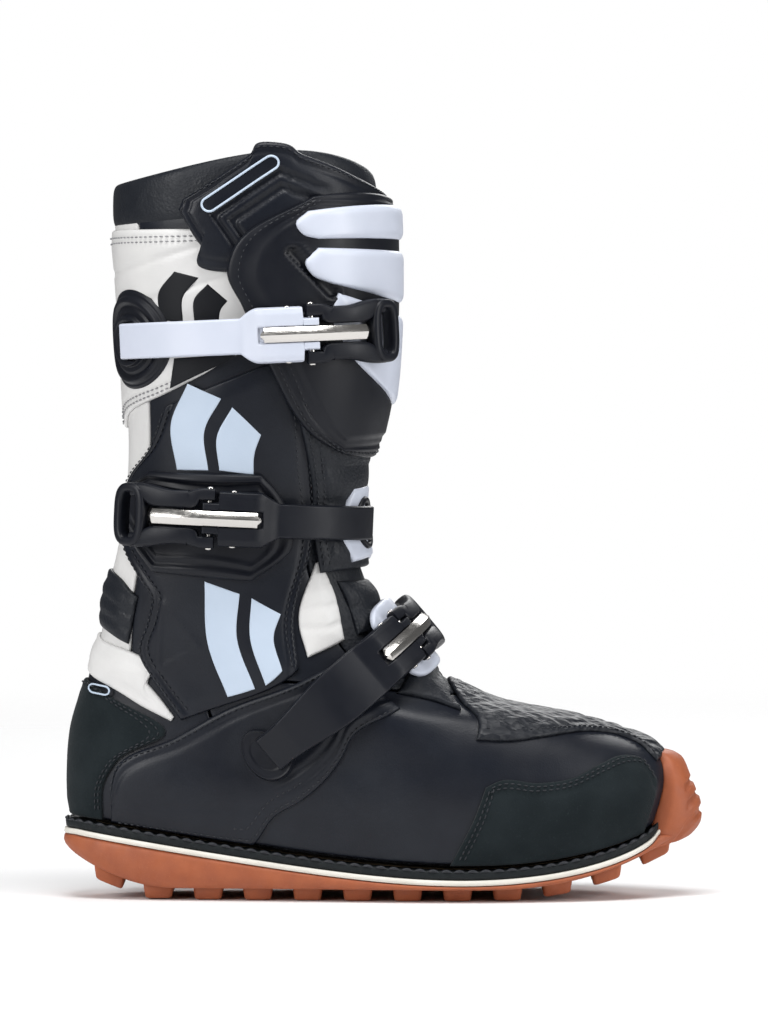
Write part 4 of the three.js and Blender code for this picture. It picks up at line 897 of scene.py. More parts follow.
overlay("calf_panel_leather", calf, white_leather, "white_leather", "calf_panel", calf_relief)
for edge, inset_mm, lift in (("first", 2.2, 4.0), ("first", 5.0, 4.1), ("last", 5.0, 4.25), ("last", 8.4, 4.25)):
    sew("grey", calf, edge, inset_mm, lift)

TOE_PATCH = [[197, 76.5], [211, 75.5], [230, 77], [250.6, 78.4], [266, 76], [276, 71.5], [283, 64.5]]
waved = Finish("waved_leather", (0.0085, 0.0102, 0.0145), 0.5, Specular_IOR_Level=0.32)
waved.dulled(waved.noise(6.0), 0.4, 0.58).embossed(waved.cells(2.6, waved.stretched(x=1.8)), 0.6)
toe_top = Patch(rail(TOE_PATCH), level(1, [4.55, 4.2, 3.6, 3.1, 2.6, 2.1, 1.6]), past_front(rail(TOE_PATCH)))
overlay("toe_patch_leather", toe_top, waved, "embossed_leather", "toe_patch",
        lambda g: 0.35 * np.sin(g.x / 1.9 + 2.2 * np.sin(g.z / 2.6 + g.u * 60)) * ease(g.rim, 3.5, 5.0),
        top=4.6, step=0.8)
for edge in ("first", "last"):
    sew("black", toe_top, edge, 2.2, 4.2)
INSTEP_PAD = [[159, 98], [172, 95], [190, 89]]
instep_pad = Patch(rail(INSTEP_PAD), level(1, [5.02, 4.85, 4.68]), past_front(rail(INSTEP_PAD)))
overlay("instep_pad_leather", instep_pad, soft_leather, "black_leather", "instep_pad",
                  lambda g: 1.2 * np.abs(np.sin(g.start / 13.0 * np.pi))**0.6 - 0.7, top=4.8)
GAITER = [[130, 152], [135.5, 140], [140, 126]]
gaiter = Patch(rail(GAITER), level(1, [6.7, 6.2, 5.75]), past_front(rail(GAITER)))
overlay("lower_gaiter_leather", gaiter, pebbled, "black_leather", "lower_gaiter",
                  lambda g: 1.8 * np.abs(np.sin(g.start / 15.0 * np.pi))**0.6 - 0.9)

# ---------------------------------------------------------------- front flap
# The front of the leg opens like a door: a pebbled leather flap hinged along its inner edge, with the collar
# flap over its top, a moulded shin guard sewn over both, and a raised trim on the guard.
FLAP_BASE, FLAP_TOP = 4.5, 7.1
SHIN_BASE, SHIN_TOP = 7.3, 10.9
HINGE_EDGE_X = 114.0
black_plastic = Finish("black_plastic", (0.0056, 0.0067, 0.0108), 0.38, Specular_IOR_Level=0.25)
black_plastic.dulled(black_plastic.noise(11.0), 0.36, 0.48).embossed(black_plastic.noise(0.35, 2.0), 0.02)
white_plastic = Finish("white_plastic", (0.57, 0.605, 0.70), 0.38)
white_plastic.tinted(white_plastic.noise(22.0), (0.54, 0.58, 0.675)).dulled(white_plastic.noise(7.0), 0.33, 0.45)
white_plastic.embossed(white_plastic.noise(0.5, 2.0), 0.012)


def hinge_edge(heights, x=HINGE_EDGE_X):
    """Edge on the inner side at one x, counted on past the front."""
    uv = locate(flowing([[x, z] for z in heights]), INNER)
    return uv + [2, 0]


FLAP_EDGE = [[121, 156], [118, 175], [117, 200], [112, 230], [103, 262], [95, 290]]
flap = Patch(rail(FLAP_EDGE), level(1, [6.9, 7.6, 8.5, 9.6, 10.8, 11.7]), hinge_edge([156, 175, 200, 230, 262, 290]))


def flap_relief(g):
    """Padded rolls across the front of the ankle, and a sewn channel inside the edges."""
    rolls = 1.5 * np.abs(np.sin(g.start / 17.5 * np.pi))**0.7 * (1 - ease(g.z, 200, 222)) * ease(g.rim, 2, 9)
    return rolls + ridge(g.first, 5.2, 0.9, -0.6) + ridge(g.last, 5.2, 0.9, -0.6) + ridge(g.first, 2.2, 1.2, 0.4)


panel("flap_leather_soft", flap, FLAP_BASE, FLAP_TOP, pebbled, "black_leather", "flap_leather",
                "front_flap", flap_relief)
sew("black", flap, "first", 2.2, 7.0, "front_flap")
sew("black", flap, "first", 6.6, 6.9, "front_flap")

COLLAR_FLAP = ([[58, 329], [68, 312], [79, 299.5], [104, 299], [130, 300]],
               [[60, 334], [70, 340.5], [80, 347.5], [90, 355], [97.5, 361], [104, 360.5], [114.5, 354.8],
                [127.5, 349.6], [139, 343.5]])
collar_flap = Patch(
    flowing(np.concatenate([locate(COLLAR_FLAP[0]), [[1, 12.0]], locate([[HINGE_EDGE_X, 299]], INNER) + [2, 0]])),
    flowing(np.concatenate([locate(COLLAR_FLAP[1]), [[1, 13.5]], locate([[HINGE_EDGE_X, 345]], INNER) + [2, 0]])))


FLAP_SIDES = [((56.8, 332), (0.58, -0.814), 1.0), ((56.8, 332), (0.839, 0.544), 1.3),
              ((99.8, 362.6), (-0.376, -0.926), 1.1)]


def collar_flap_relief(g):
    """Two nested angles pressed into the outer face: both run at one distance from its three outer sides."""
    depth = np.minimum.reduce([((g.x - at[0]) * way[0] + (g.z - at[1]) * way[1]) * share
                               for at, way, share in FLAP_SIDES])
    face = (g.u > 0) * (g.u < 1) * ease(g.rim, 4.0, 6.0) * (1 - ease(g.x, 112, 128))
    angles = sum(ease(depth, at - 0.5, at) * (1 - ease(depth, at + 3.0, at + 3.7)) for at in (13.2, 20.0))
    return -1.6 * angles * face + ridge(g.rim, 2.2, 1.1, 0.4) + ridge(g.rim, 5.0, 0.8, -0.45)


panel("collar_flap_leather", collar_flap, FLAP_BASE - 0.6, FLAP_TOP, black_leather, "black_leather",
      "collar_flap", "front_flap", collar_flap_relief, roll=1.6, step=0.9)
sew("black", collar_flap, "last", 2.4, 7.1, "front_flap")
sew("black", collar_flap, "start", 2.4, 7.1, "front_flap")

SHIN_EDGE = [[128, 215], [119, 221], [98, 257], [87, 283], [80, 300], [82, 309], [117, 335]]
shin = Patch(rail(SHIN_EDGE), level(1, [9.0, 9.6, 10.4, 11.4, 12.2, 12.7, 13.4]),
             hinge_edge([222, 228, 250, 275, 300, 312, 334], HINGE_EDGE_X + 5))


def shin_relief(g):
    """A sewn flange, a raised middle with a bevelled border, and a slanted vent slot near the top."""
    middle = 1.1 * ease(g.rim, 11.0, 13.0)
    flange = ridge(g.rim, 3.0, 0.9, -0.7) + ridge(g.rim, 7.0, 1.0, -0.7) + ridge(g.rim, 5.0, 0.9, 0.35)
    vent = segment(g, (108, 309), (124, 290))
    slot = -2.4 * (1 - ease(vent, 1.8, 2.6)) + ridge(vent, 3.6, 0.9, 0.8)
    return middle + flange + slot * (g.u < 1)


panel("shin_guard_shell", shin, SHIN_BASE, SHIN_TOP, black_plastic, "black_plastic", "shin_guard", "front_flap",
      shin_relief, roll=2.4, crown=0.8, step=1.2)
for edge in ("first", "last"):
    sew("black", shin, edge, 3.0, 10.4, "front_flap")
    sew("black", shin, edge, 7.0, 10.55, "front_flap")
sew("black", shin, "start", 3.0, 10.4, "front_flap")

# The trim is three slanted blades that lengthen downwards and meet over the shin's ridge.
TRIM_BASE, TRIM_TOP, TRIM_ROLL = SHIN_TOP + 0.6, SHIN_TOP + 3.2, 4.2
BLADES = [([[114, 328], [109, 322], [112, 317], [118, 315]], [13.2, 12.95, 12.75, 12.55]),
          ([[118, 311], [113, 304], [116, 298], [124, 294]], [12.35, 12.05, 11.8, 11.5]),
          ([[126, 290], [123, 279], [130, 262], [142, 246]], [11.3, 10.9, 10.4, 9.9])]
blade_shells = []
for rear_edge, front in BLADES:
    blade = Patch(rail(rear_edge), level(1, front), past_front(rail(rear_edge) * [0.3, 1] + [0.7, 0]))
    g = Ground(blade.grid(1.2))
    lift = TRIM_BASE + (TRIM_TOP - TRIM_BASE) * rolled(g.rim, TRIM_ROLL)
    blade_shells.append(closed_sheet(lifted(g.u, g.v, lift), lifted(g.u, g.v, TRIM_BASE)))
make_piece("shin_trim", *gather(*blade_shells), white_plastic.material, "front_flap", "white_plastic", ["shin_motif"])

# ---------------------------------------------------------------- anchors and plates of the buckles
# Each strap starts in a moulded anchor riveted to the boot: a round flange with an oval hub at the top, a white
# loop on the flap in the middle, and a plain pivot disc at the ankle. The levers close over ribbed plates.


def disc(name, centre, radius, stages, node, slit=None, base=1.7):
    """Round moulding on the last: rings round its centre, lifted by (distance, height) stages with short
    rounded steps between them, less the depth of a slit."""
    u, v = centre
    scale_u = np.linalg.norm(last_point(u + 0.01, v) - last_point(u - 0.01, v)) / 0.02
    scale_v = np.linalg.norm(last_point(u, v + 0.05) - last_point(u, v - 0.05)) / 0.1
    reach = radius * np.r_[np.linspace(0.01, 0.9, 34), np.linspace(0.91, 1, 12)]
    r, a = np.meshgrid(reach, full_turn(96), indexing="ij")
    x, y = r * np.cos(a), r * np.sin(a)
    u, v = u + x / scale_u, v + y / scale_v
    lift = np.full(r.shape, float(stages[0][1]))
    for (_, before), (at, after) in zip(stages, stages[1:]):
        lift = lift + (after - before) * ease(r, at - 0.5, at + 0.5)
    if slit is not None:
        lift = lift - slit(x, y)
    rings = np.concatenate([lifted(u, v, lift), lifted(u[-1:], v[-1:], base), lifted(u[:1], v[:1], base)])
    make_piece(name, *capped(rings), black_plastic.material, "boot", "black_plastic", [node])


DISC_CENTRE = locate([[37.3, 267]])[0]
DISC_RADIUS, HUB_RADIUS = 24.0, 12.6
disc("upper_anchor_flange", DISC_CENTRE, DISC_RADIUS,
     [(0, 6.4), (15.5, 5.6), (17.2, 6.9), (20.4, 5.2), (22.6, 4.8), (23.6, 2.0)], "upper_anchor_disc")


def strap_slot(x, y):
    """Deep rectangular slot that the strap comes out of, towards the front."""
    return 3.4 * (1 - ease(np.abs(x - 2.5), 3.2, 4.0)) * (1 - ease(np.abs(y), 8.6, 9.4))


disc("upper_anchor_boss", DISC_CENTRE, HUB_RADIUS, [(0, 8.2), (9.6, 8.6), (12.0, 6.6)], "upper_anchor_hub",
     strap_slot, base=4.2)
PIVOT_CENTRE = locate([[98.9, 70.6]])[0]
disc("instep_pivot_cap", PIVOT_CENTRE, 12.7, [(0, 8.0), (8.0, 8.4), (11.6, 8.7), (12.3, 5.0)],
     "instep_pivot_disc", base=3.4)

PLATE = ([[46, 157], [39, 168], [33.4, 194], [45.6, 205]], [[90.7, 153], [108, 168], [102.5, 195.5], [95, 204.5]])
plate = Patch(*(locate(flowing(points, 24)) for points in PLATE))


def plate_relief(g):
    """Two nested rounded ridges round the plate, and a flat well between them."""
    return ridge(g.rim, 3.4, 1.2, 1.0) + ridge(g.rim, 9.0, 1.2, 0.9) - 0.9 * ease(g.rim, 4.5, 6.0)


overlay("mid_plate_moulding", plate, black_plastic, "black_plastic", "mid_buckle_plate", plate_relief, base=4.0,
        top=7.6, crown=0.4, step=1.2)
HOLDER = [[133, 160], [128.5, 170], [128.5, 188], [132, 198]]
holder = Patch(rail(HOLDER), level(1, [7.05, 7.5, 8.1, 8.5]), past_front(rail(HOLDER) * [0.25, 1] + [0.75, 0]))


SLOT_CENTRE = np.array([0.925, locate([[133.0, 179.5]])[0, 1]])
SLOT_HALF = np.array([0.05, 0.48])


def holder_relief(g):
    """A well inside the slot's rim, where the strap passes through."""
    centre = np.hypot((g.u - SLOT_CENTRE[0]) / SLOT_HALF[0], (g.v - SLOT_CENTRE[1]) / SLOT_HALF[1])
    return -1.9 * (1 - ease(centre, 0.75, 0.95))


panel("mid_strap_loop", holder, FLAP_TOP - 0.4, FLAP_TOP + 2.7, white_plastic, "white_plastic",
      "mid_strap_holder", "front_flap", holder_relief, roll=2.2, crown=0.3)

# ---------------------------------------------------------------- straps and buckles
# A moulded strap widens into a head with a pressed channel. In it lies a polished bar, crowned and hooked at
# its end, and a steel pin through the head carries the fork-shaped lever that wraps round the bar's hook.
STRAP_THICKNESS, HEAD_THICKNESS, HEAD_HALF, FORK_HALF_GAP, LEVER_HALF = 2.4, 7.0, 13.2, 8.3, 14.2
PIN_HEIGHT, PIN_RADIUS, HEAD_BACK, HEAD_NOSE, NOTCH_BACK = 2.7, 1.5, 33.0, 3.4, 4.5
BAR_BACK, BAR_NOSE, BAR_LOW, BAR_TOP, BAR_HALF = 23.5, 31.0, 4.9, 8.2, 3.5
LEVER_TOP, LEVER_LOW = 7.4, 0.8
BELT_SAMPLES, RUN_ON = 240, 80.0


class Belt:
    """Line of a strap: the last cut by the strap's plane and lifted. spot(s, t, c) is s along it, t out of it
    and c across it."""

    def __init__(self, x, z, tilt, forward, start, end, lift):
        angle = np.radians(tilt)
        self.along = np.array([forward * np.cos(angle), 0, np.sin(angle)])
        self.out = np.array([0, -1.0, 0])
        self.across = np.cross(self.along, self.out)
        self.origin = np.array([x, 0, z])
        share = np.linspace(0, 1, BELT_SAMPLES)
        u = start + (end - start) * share
        low, high = np.full(BELT_SAMPLES, 0.5), np.full(BELT_SAMPLES, 14.5)
        aside = [(last_point(u, edge) - self.origin) @ self.across for edge in (low, high)]
        sign = np.sign(aside[1] - aside[0])
        for _ in range(36):
            v = (low + high) / 2
            before = ((last_point(u, v) - self.origin) @ self.across) * sign < 0
            low, high = np.where(before, v, low), np.where(before, high, v)
        spots = lifted(u, low, lift(share)) - self.origin
        flat = np.stack([spots @ self.along, spots @ self.out], -1)
        ends = [flat[0] - flat[3], flat[-1] - flat[-4]]
        ends = [RUN_ON * end / np.linalg.norm(end) for end in ends]
        self.flat = np.concatenate([[flat[0] + ends[0]], flat, [flat[-1] + ends[1]]])
        run = np.r_[0, np.cumsum(np.linalg.norm(np.diff(self.flat, axis=0), axis=1))]
        self.run = run - RUN_ON

    def at(self, s):
        return np.stack([np.interp(s, self.run, self.flat[:, k]) for k in (0, 1)], -1)

    def spot(self, s, t, c):
        s, t, c = np.broadcast_arrays(*(np.asarray(value, float) for value in (s, t, c)))
        ahead = self.at(s + 4) - self.at(s - 4)
        ahead /= np.linalg.norm(ahead, axis=-1, keepdims=True)
        flat = self.at(s) + np.stack([-ahead[..., 1], ahead[..., 0]], -1) * t[..., None]
        return self.origin + flat[..., :1] * self.along + flat[..., 1:] * self.out + c[..., None] * self.across


def plateau(s, c_share, half, height, roll=1.0):
    """Height that falls to 0 at the border of a strip of the given half width, as a quarter ellipse."""
    rim = np.minimum(half * (1 - np.abs(c_share)), np.minimum(s - s.min(), s.max() - s))
    return height * rolled(rim, roll)


def strap_body(belt, pin, strap_half, shoulder, sink):
    """Strap and head as one sheet on the belt: half width and height are functions of the length along it."""
    s = np.unique(np.r_[np.linspace(0, pin - HEAD_BACK, 50), np.linspace(pin - HEAD_BACK, pin + HEAD_NOSE, 90),
                        [0.3, 0.8, pin + HEAD_NOSE - 0.3, pin + HEAD_NOSE - 0.8],
                        pin - NOTCH_BACK + np.array([-0.15, 0.15])])
    share = np.unique(np.r_[np.linspace(-1, 1, 61), 0.985, -0.985, 0.95, -0.95])
    s, share = np.meshgrid(s, share, indexing="ij")
    root_half, strap_half = strap_half
    half = root_half + (strap_half - root_half) * ease(s, 6, 48)
    half = half + (HEAD_HALF - strap_half) * shoulder((s - pin + HEAD_BACK) / 9.0)
    half = half - (half - FORK_HALF_GAP + 0.5) * ease(s, pin - NOTCH_BACK - 0.1, pin - NOTCH_BACK + 0.1)
    c = share * half
    height = STRAP_THICKNESS + (HEAD_THICKNESS - STRAP_THICKNESS) * ease(s, pin - HEAD_BACK, pin - HEAD_BACK + 13)
    height = height - 0.5 * ease(np.abs(c), 9.5, 12.5) * ease(s, pin - 28, pin - 20)
    channel = (1 - ease(np.abs(c), 3.75, 4.05)) * ease(s, pin - BAR_BACK - 1.1, pin - BAR_BACK - 0.7)
    height = height - (height - BAR_LOW + 0.35) * channel
    top = plateau(s, share, half, height)
    drop = sink * (1 - ease(s, 0, 16))
    return closed_sheet(belt.spot(s, top - drop, c), belt.spot(s, -drop, c))


def carried(belt, s, c, t, radius, blunt, closed=False):
    """Rod carried along a path on the belt, with a section that is a superellipse."""
    count = len(s)
    ds, dc = np.gradient(s), np.gradient(c)
    if closed:
        ds = (np.roll(s, -1) - np.roll(s, 1)) / 2
        dc = (np.roll(c, -1) - np.roll(c, 1)) / 2
    length = np.hypot(ds, dc)
    turn = full_turn(20)
    wide = squared(np.cos(turn), blunt)
    tall = squared(np.sin(turn), blunt)
    width, height = (np.broadcast_to(np.asarray(value, float), (count,))[:, None] for value in radius)
    ring_s = s[:, None] - (dc / length)[:, None] * wide * width
    ring_c = c[:, None] + (ds / length)[:, None] * wide * width
    ring_t = np.broadcast_to(np.asarray(t, float), (count,))[:, None] + tall * height
    points = belt.spot(ring_s, ring_t, ring_c)
    return (points.reshape(-1, 3), quads(count, 20, True, True)) if closed else capped(points)


def bar_body(belt, pin):
    """Polished bar: a six-sided section with a ridge on top, pointed at its back end and hooked at the front."""
    s = np.r_[pin - BAR_BACK, pin - BAR_BACK + 1.6, np.linspace(pin - BAR_BACK + 3, pin + BAR_NOSE - 4, 40),
              pin + BAR_NOSE - 2.5, pin + BAR_NOSE - 1.2, pin + BAR_NOSE - 0.4, pin + BAR_NOSE]
    drop = 5.2 * ease(s, pin + BAR_NOSE - 5.5, pin + BAR_NOSE + 0.6)
    pointed = np.clip((s - pin + BAR_BACK) / 1.6, 0.25, 1)
    corner_c = np.array([-1, -1, -0.62, 0, 0.62, 1, 1, 0.7, -0.7]) * BAR_HALF
    corner_t = np.array([BAR_LOW + 0.6, BAR_TOP - 1.5, BAR_TOP - 0.5, BAR_TOP + 0.35, BAR_TOP - 0.5, BAR_TOP - 1.5,
                         BAR_LOW + 0.6, BAR_LOW, BAR_LOW])
    c = corner_c[None, :] * pointed[:, None]
    t = corner_t[None, :] - drop[:, None]
    return capped(belt.spot(s[:, None], t, c))


def lever_body(belt, pin):
    """Fork lever: two arms that swell from the pin to wide shoulders, and a rounded frame round the window."""
    middle, reach = (LEVER_TOP + LEVER_LOW) / 2, (LEVER_TOP - LEVER_LOW) / 2
    s = np.linspace(pin - 2.4, pin + 37, 40)
    inside = FORK_HALF_GAP + 0.1 - (FORK_HALF_GAP - BAR_HALF - 0.9) * ease(s, pin + 5.5, pin + 8.5)
    outside = LEVER_HALF - 1.5 * ease(s, pin + 2, pin + 12) + 2.6 * ease(s, pin + 16, pin + 33)
    inside = inside + 4.0 * ease(s, pin + 24, pin + 34)
    thick = reach * (0.74 + 0.3 * ease(s, pin, pin + 22))
    shells = [carried(belt, s, sign * (inside + outside) / 2, middle - (reach - thick) * 0.6,
                      radius=((outside - inside) / 2, thick), blunt=0.5) for sign in (-1, 1)]
    turn = full_turn(96)
    frame_s = pin + 37.6 + 6.0 * squared(np.cos(turn), 0.62)
    frame_c = 12.9 * squared(np.sin(turn), 0.62)
    shells.append(carried(belt, frame_s, frame_c, middle + 0.6, closed=True, radius=(2.2, reach + 0.6), blunt=0.6))
    return gather(*shells)


def pin_body(belt, s, t, half, radius):
    """Round pin across the belt with domed heads."""
    share = np.r_[-1, -0.995, -0.98, np.linspace(-0.96, 0.96, 9), 0.98, 0.995, 1]
    thick = radius * np.r_[0.05, 0.6, 0.9, np.ones(9), 0.9, 0.6, 0.05]
    turn = full_turn(20)
    return capped(belt.spot(s + thick[:, None] * np.cos(turn), t + thick[:, None] * np.sin(turn),
                            share[:, None] * half))


def curved(t):
    """Shoulder that swells at once and then slows."""
    return np.sin(np.clip(t, 0, 1) * np.pi / 2)


def chamfered(t):
    """Shoulder with a straight slant."""
    return np.clip(t, 0, 1)


def cord(points, normals, radius):
    """Round cord carried round a closed line on a surface."""
    ahead = np.roll(points, -1, 0) - np.roll(points, 1, 0)
    ahead /= np.linalg.norm(ahead, axis=1, keepdims=True)
    aside = np.cross(normals, ahead)
    turn = full_turn(14)[None, :, None]
    rings = points[:, None] + radius * (np.cos(turn) * aside[:, None] + np.sin(turn) * normals[:, None])
    return rings.reshape(-1, 3), quads(len(points), 14, True, True)


def ring_on(spots, side, lift, radius):
    """Cord on the last, along a closed line given in the side view."""
    spots = np.concatenate([spots, spots[:1]])
    run = np.r_[0, np.cumsum(np.linalg.norm(np.diff(spots, axis=0), axis=1))]
    even = np.linspace(0, run[-1], 160, endpoint=False)
    uv = locate(np.stack([np.interp(even, run, spots[:, k]) for k in (0, 1)], -1), side)
    return cord(lifted(uv[:, 0], uv[:, 1], lift), last_normal(uv[:, 0], uv[:, 1]), radius)


def crisp(piece, degrees):
    piece.data.set_sharp_from_angle(angle=np.radians(degrees))


def buckle(name, belt, pin, strap_half, shoulder, finish, slot, sink=0.0):
    strap = make_piece(f"{name}_strap_moulding", *strap_body(belt, pin, strap_half, shoulder, sink), finish.material,
                       f"{name}_strap", slot, [f"{name}_strap"])
    crisp(strap, 50)
    bar = make_piece(f"{name}_bar_polished", *bar_body(belt, pin), steel.material, f"{name}_strap", "steel",
                     [f"{name}_bar"])
    crisp(bar, 18)
    pins = gather(pin_body(belt, pin, PIN_HEIGHT, LEVER_HALF + 0.9, PIN_RADIUS),
                  pin_body(belt, pin - 11, PIN_HEIGHT, HEAD_HALF + 0.5, PIN_RADIUS))
    make_piece(f"{name}_pin_steel", *pins, steel.material, f"{name}_strap", "steel", [f"{name}_pin"])
    lever = make_piece(f"{name}_lever_fork", *lever_body(belt, pin), black_plastic.material, f"{name}_lever",
                       "black_plastic", [f"{name}_lever"])
    crisp(lever, 50)


def under_lever(belt, start, end, half):
    """Patch of the last under a stretch of a belt."""
    s = np.linspace(start, end, 20)
    edges = []
    for c in (-half, half):
        points = belt.spot(s, 0, c)
        edges.append(locate(points[:, [0, 2]]))
    return edges


upper_belt = Belt(28, 266.6, 2.4, 1, DISC_CENTRE[0], 1.02,
                  lambda share: 9.5 + (SHIN_TOP + 3.2 - 9.5) * ease(share, 0, 0.5))
buckle("upper", upper_belt, 100, (8.5, 8.5), curved, white_plastic, "white_plastic")
mid_belt = Belt(153.6, 179.5, 2.5, -1, 0.93, 0.06, lambda share: np.full(share.shape, 12.0))
buckle("mid", mid_belt, 92, (8.2, 8.2), chamfered, black_plastic, "black_plastic")
instep_belt = Belt(98.9, 70.6, 40, 1, PIVOT_CENTRE[0], 1.32, lambda share: 12.8 - 1.2 * ease(share, 0.05, 0.3))
buckle("instep", instep_belt, 96.5, (9.3, 13.6), curved, black_plastic, "black_plastic", 3.6)

# the rim of the slot that the middle strap comes out of
rim_turn = full_turn(90)
rim_uv = SLOT_CENTRE + SLOT_HALF * np.stack([np.cos(rim_turn), np.sin(rim_turn)], -1)
rim_line = lifted(rim_uv[:, 0], rim_uv[:, 1], np.full(90, FLAP_TOP + 3.0))
make_piece("mid_slot_rim", *cord(rim_line, last_normal(rim_uv[:, 0], rim_uv[:, 1]), 1.5), black_plastic.material,
           "front_flap", "black_plastic")

# the plates that the levers close on
for name, belt, start, end, half, low, high, body in (
        ("upper_base", upper_belt, 93, 119, 11.0, SHIN_TOP - 0.4, SHIN_TOP + 2.0, "front_flap"),
        ("mid_buckle_seat", mid_belt, 103, 123, 6.5, 6.4, OVER_TOP + 6.0, "boot")):
    edges = under_lever(belt, start, end, half)
    panel(f"{name}_moulding", Patch(*edges), low, high, black_plastic, "black_plastic", name, body, step=1.5,
          roll=1.6, crown=0.2)
base_s, base_share = np.meshgrid(np.linspace(86, 126, 60), np.linspace(-1, 1, 50), indexing="ij")
base_half = 21.0 * np.sqrt(np.clip(1 - ((base_s - 106) / 23.5)**4, 0.05, 1))
base_rim = plateau(base_s, base_share, base_half, 1.0, 2.2)
base_rise = 2.2 + 1.0 * ease(base_s, 104, 112)
base_top = instep_belt.spot(base_s, -3.4 + base_rise * base_rim, base_share * base_half)
base_low = instep_belt.spot(base_s, -3.4, base_share * base_half)
make_piece("instep_base_moulding", *closed_sheet(base_top, base_low), white_plastic.material, "boot",
           "white_plastic", ["instep_base"])

# ---------------------------------------------------------------- printed bars and badges
# Curved strokes are printed on the leather down the outer and inner side, black on the white calf and pale on
# the black quarter. The badges on the collar flap and the heel are plain capsules of thin cord.
print_pale = Finish("print_pale", (0.50, 0.585, 0.70), 0.36)
print_pale.tinted(print_pale.noise(20.0), (0.47, 0.555, 0.67)).embossed(print_pale.cells(0.9), 0.02)
print_black = Finish("print_black", (0.0055, 0.0062, 0.0085), 0.45, Specular_IOR_Level=0.18)
print_black.embossed(print_black.cells(0.9), 0.02)


def printed(edges, side, lift, thickness=0.28, step=1.5):
    """Curved stroke of print on the last between a rear edge and a front edge."""
    patch = Patch(*(rail(edge, side) for edge in edges))
    g = Ground(patch.grid(step))
    rise = thickness * np.clip(g.rim / 0.3, 0, 1)
    return closed_sheet(lifted(g.u, g.v, lift + rise), lifted(g.u, g.v, lift - 0.6))


QUARTER_BARS = [([[57, 206], [54.5, 228], [62, 247]], [[71, 206], [69.5, 225], [77, 240]]),
                ([[76, 206], [75, 222], [82, 236]], [[91.5, 204], [92, 214], [95, 223]]),
                ([[80, 98], [70.5, 124], [69, 153]], [[93, 102], [84, 127], [85, 147]]),
                ([[98, 103.5], [90, 127], [90.5, 145]], [[105.5, 110], [101, 127], [104, 137]])]
CALF_BARS = [([[50, 277], [49, 290], [56, 300]], [[60, 276], [60, 288], [67, 297]]),
             ([[65, 276], [65, 287], [71, 294]], [[76, 275], [77, 282], [80, 286]]),
             ([[54, 244.5], [55, 252], [56, 259]], [[80, 257.5], [82, 259], [84, 261]])]
for side_name, side in (("outer", OUTER), ("inner", INNER)):
    make_piece(f"quarter_bars_{side_name}", *gather(*(printed(bar, side, 4.3) for bar in QUARTER_BARS)),
               print_pale.material, "boot", "white_leather")
    make_piece(f"calf_bars_{side_name}", *gather(*(printed(bar, side, 4.2) for bar in CALF_BARS)),
               print_black.material, "boot", "black_leather")


def capsule(centre, degrees, length, width):
    """Closed line of a capsule in the side view."""
    turn = full_turn(80)
    along = np.cos(turn) * width / 2 + np.sign(np.cos(turn)) * (length - width) / 2
    across = np.sin(turn) * width / 2
    slant = np.radians(degrees)
    return np.array(centre) + np.stack([along * np.cos(slant) - across * np.sin(slant),
                                        along * np.sin(slant) + across * np.cos(slant)], -1)


make_piece("collar_badge", *ring_on(capsule((85.8, 341), 35.5, 40, 6.5), OUTER, FLAP_TOP + 0.1, 0.55),
           print_pale.material, "front_flap", "white_leather")
make_piece("heel_badge", *ring_on(capsule((20, 99.5), -8, 9, 4.2), OUTER, OVER_TOP + 0.3, 0.45),
           print_pale.material, "boot", "white_leather")

# ---------------------------------------------------------------- stitching
# All rows of thread that were laid down along the panels. The thread is waxed and locked at each hole, so each
# stitch is a grain that dips in at both ends. One piece is made for each thread and body.
threads = {"black": (thread_black, "black_leather"), "grey": (thread_grey, "white_leather")}
for (thread, body), shells in stitch_lines.items():
    finish, slot = threads[thread]
    make_piece(f"stitches_{thread}_{body}", *gather(*shells), finish.material, body, slot)

# ---------------------------------------------------------------- floor, light and camera
# The boot stands on a pale, dull studio floor that fades out at its edge. Four soft lamps light it, and a long
# lens looks at its outer side from a little above.
AMBIENT, BACKDROP = 0.12, 1.0
FLOOR_HALF, FADE_START, FADE_END = 4.0, 0.35, 1.9
floor_finish = Finish("pale_floor", (0.88, 0.88, 0.885), 0.8, Specular_IOR_Level=0.2)
span = floor_finish.tree.nodes.new("ShaderNodeVectorMath")
span.operation = "LENGTH"
floor_finish.tree.links.new(floor_finish.place, span.inputs[0])
fade = floor_finish.tree.nodes.new("ShaderNodeMapRange")
fade.interpolation_type = "SMOOTHSTEP"
floor_finish.set(fade, Value=span.outputs["Value"], **{"From Min": FADE_START, "From Max": FADE_END, "To Min": 1.0,
                                                      "To Max": 0.0})
floor_finish.set(floor_finish.shader, Alpha=fade.outputs["Result"])
floor_mesh = bpy.data.meshes.new("floor")
floor_corners = [(x * FLOOR_HALF, y * FLOOR_HALF, 0) for x, y in ((-1, -1), (1, -1), (1, 1), (-1, 1))]
floor_mesh.from_pydata(floor_corners, [], [(0, 1, 2, 3)])
floor_mesh.materials.append(floor_finish.material)
floor = bpy.data.objects.new("floor", floor_mesh)
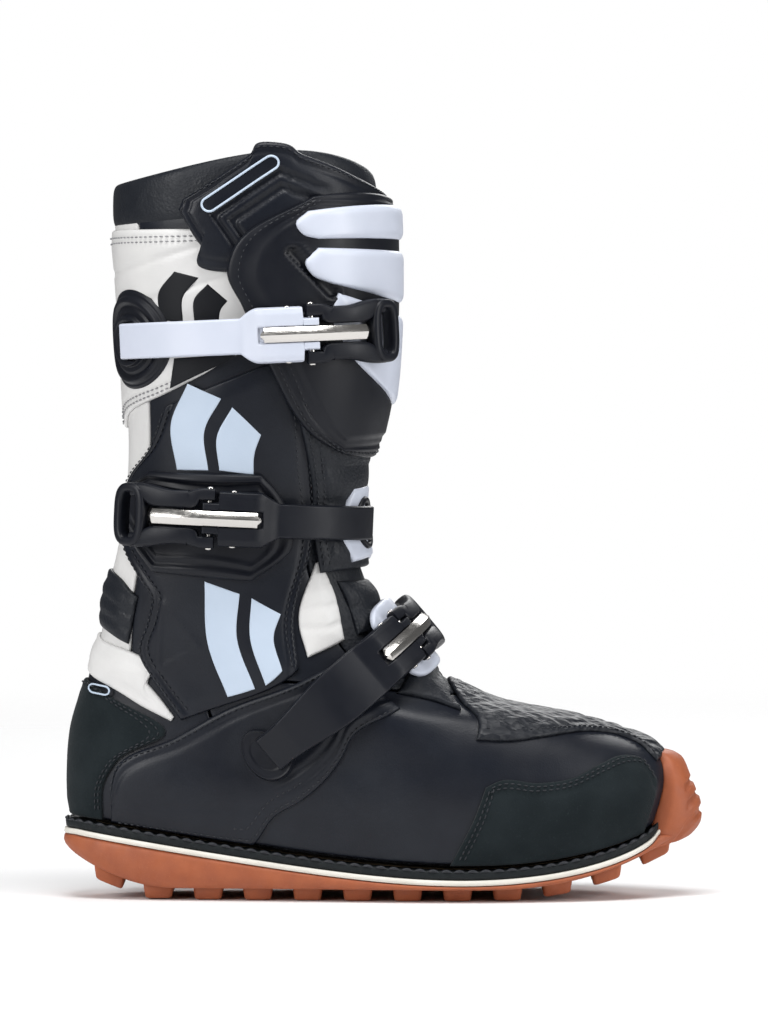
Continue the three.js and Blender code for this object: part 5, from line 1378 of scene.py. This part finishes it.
bpy.context.scene.collection.objects.link(floor)

world = bpy.data.worlds.new("studio")
bpy.context.scene.world = world
world.use_nodes = True
background = world.node_tree.nodes["Background"]
background.inputs["Color"].default_value = (1, 1, 1, 1)
seen = world.node_tree.nodes.new("ShaderNodeLightPath")
strength = world.node_tree.nodes.new("ShaderNodeMapRange")
strength.inputs["To Min"].default_value, strength.inputs["To Max"].default_value = AMBIENT, BACKDROP
world.node_tree.links.new(seen.outputs["Is Camera Ray"], strength.inputs["Value"])
world.node_tree.links.new(strength.outputs["Result"], background.inputs["Strength"])
bpy.context.scene.view_settings.view_transform = "Standard"


def softbox(name, at, aim, size, power):
    light = bpy.data.lights.new(name, "AREA")
    light.shape, light.size, light.size_y, light.energy = "RECTANGLE", size[0], size[1], power
    holder_object = bpy.data.objects.new(name, light)
    bpy.context.scene.collection.objects.link(holder_object)
    holder_object.location = at
    direction = np.array(aim) - np.array(at)
    holder_object.rotation_euler = Vector(direction).to_track_quat("-Z", "Y").to_euler()


softbox("key_left", (-1.5, -1.3, 1.0), (0, 0, 0.18), (0.7, 1.5), 30)
softbox("fill_right", (1.6, -0.9, 0.7), (0, 0, 0.18), (0.5, 1.4), 18)
softbox("top", (0.1, -0.5, 1.8), (0.02, 0, 0.1), (1.2, 0.8), 28)
softbox("back", (0.3, 1.6, 1.1), (0, 0, 0.2), (1.2, 0.8), 16)

PICTURE_HEIGHT, CAMERA_DISTANCE, CAMERA_TILT = 0.4915, 3.2, 1.6
aim_point = place([153.6, 0, 184.8])
camera_data = bpy.data.cameras.new("camera")
camera_data.lens = 36 * CAMERA_DISTANCE / PICTURE_HEIGHT
camera = bpy.data.objects.new("camera", camera_data)
bpy.context.scene.collection.objects.link(camera)
tilt = np.radians(CAMERA_TILT)
camera.location = (aim_point[0], -CAMERA_DISTANCE * np.cos(tilt), aim_point[2] + CAMERA_DISTANCE * np.sin(tilt))
camera.rotation_euler = (np.pi / 2 - tilt, 0, 0)
camera_data.clip_end = 100
bpy.context.scene.camera = camera
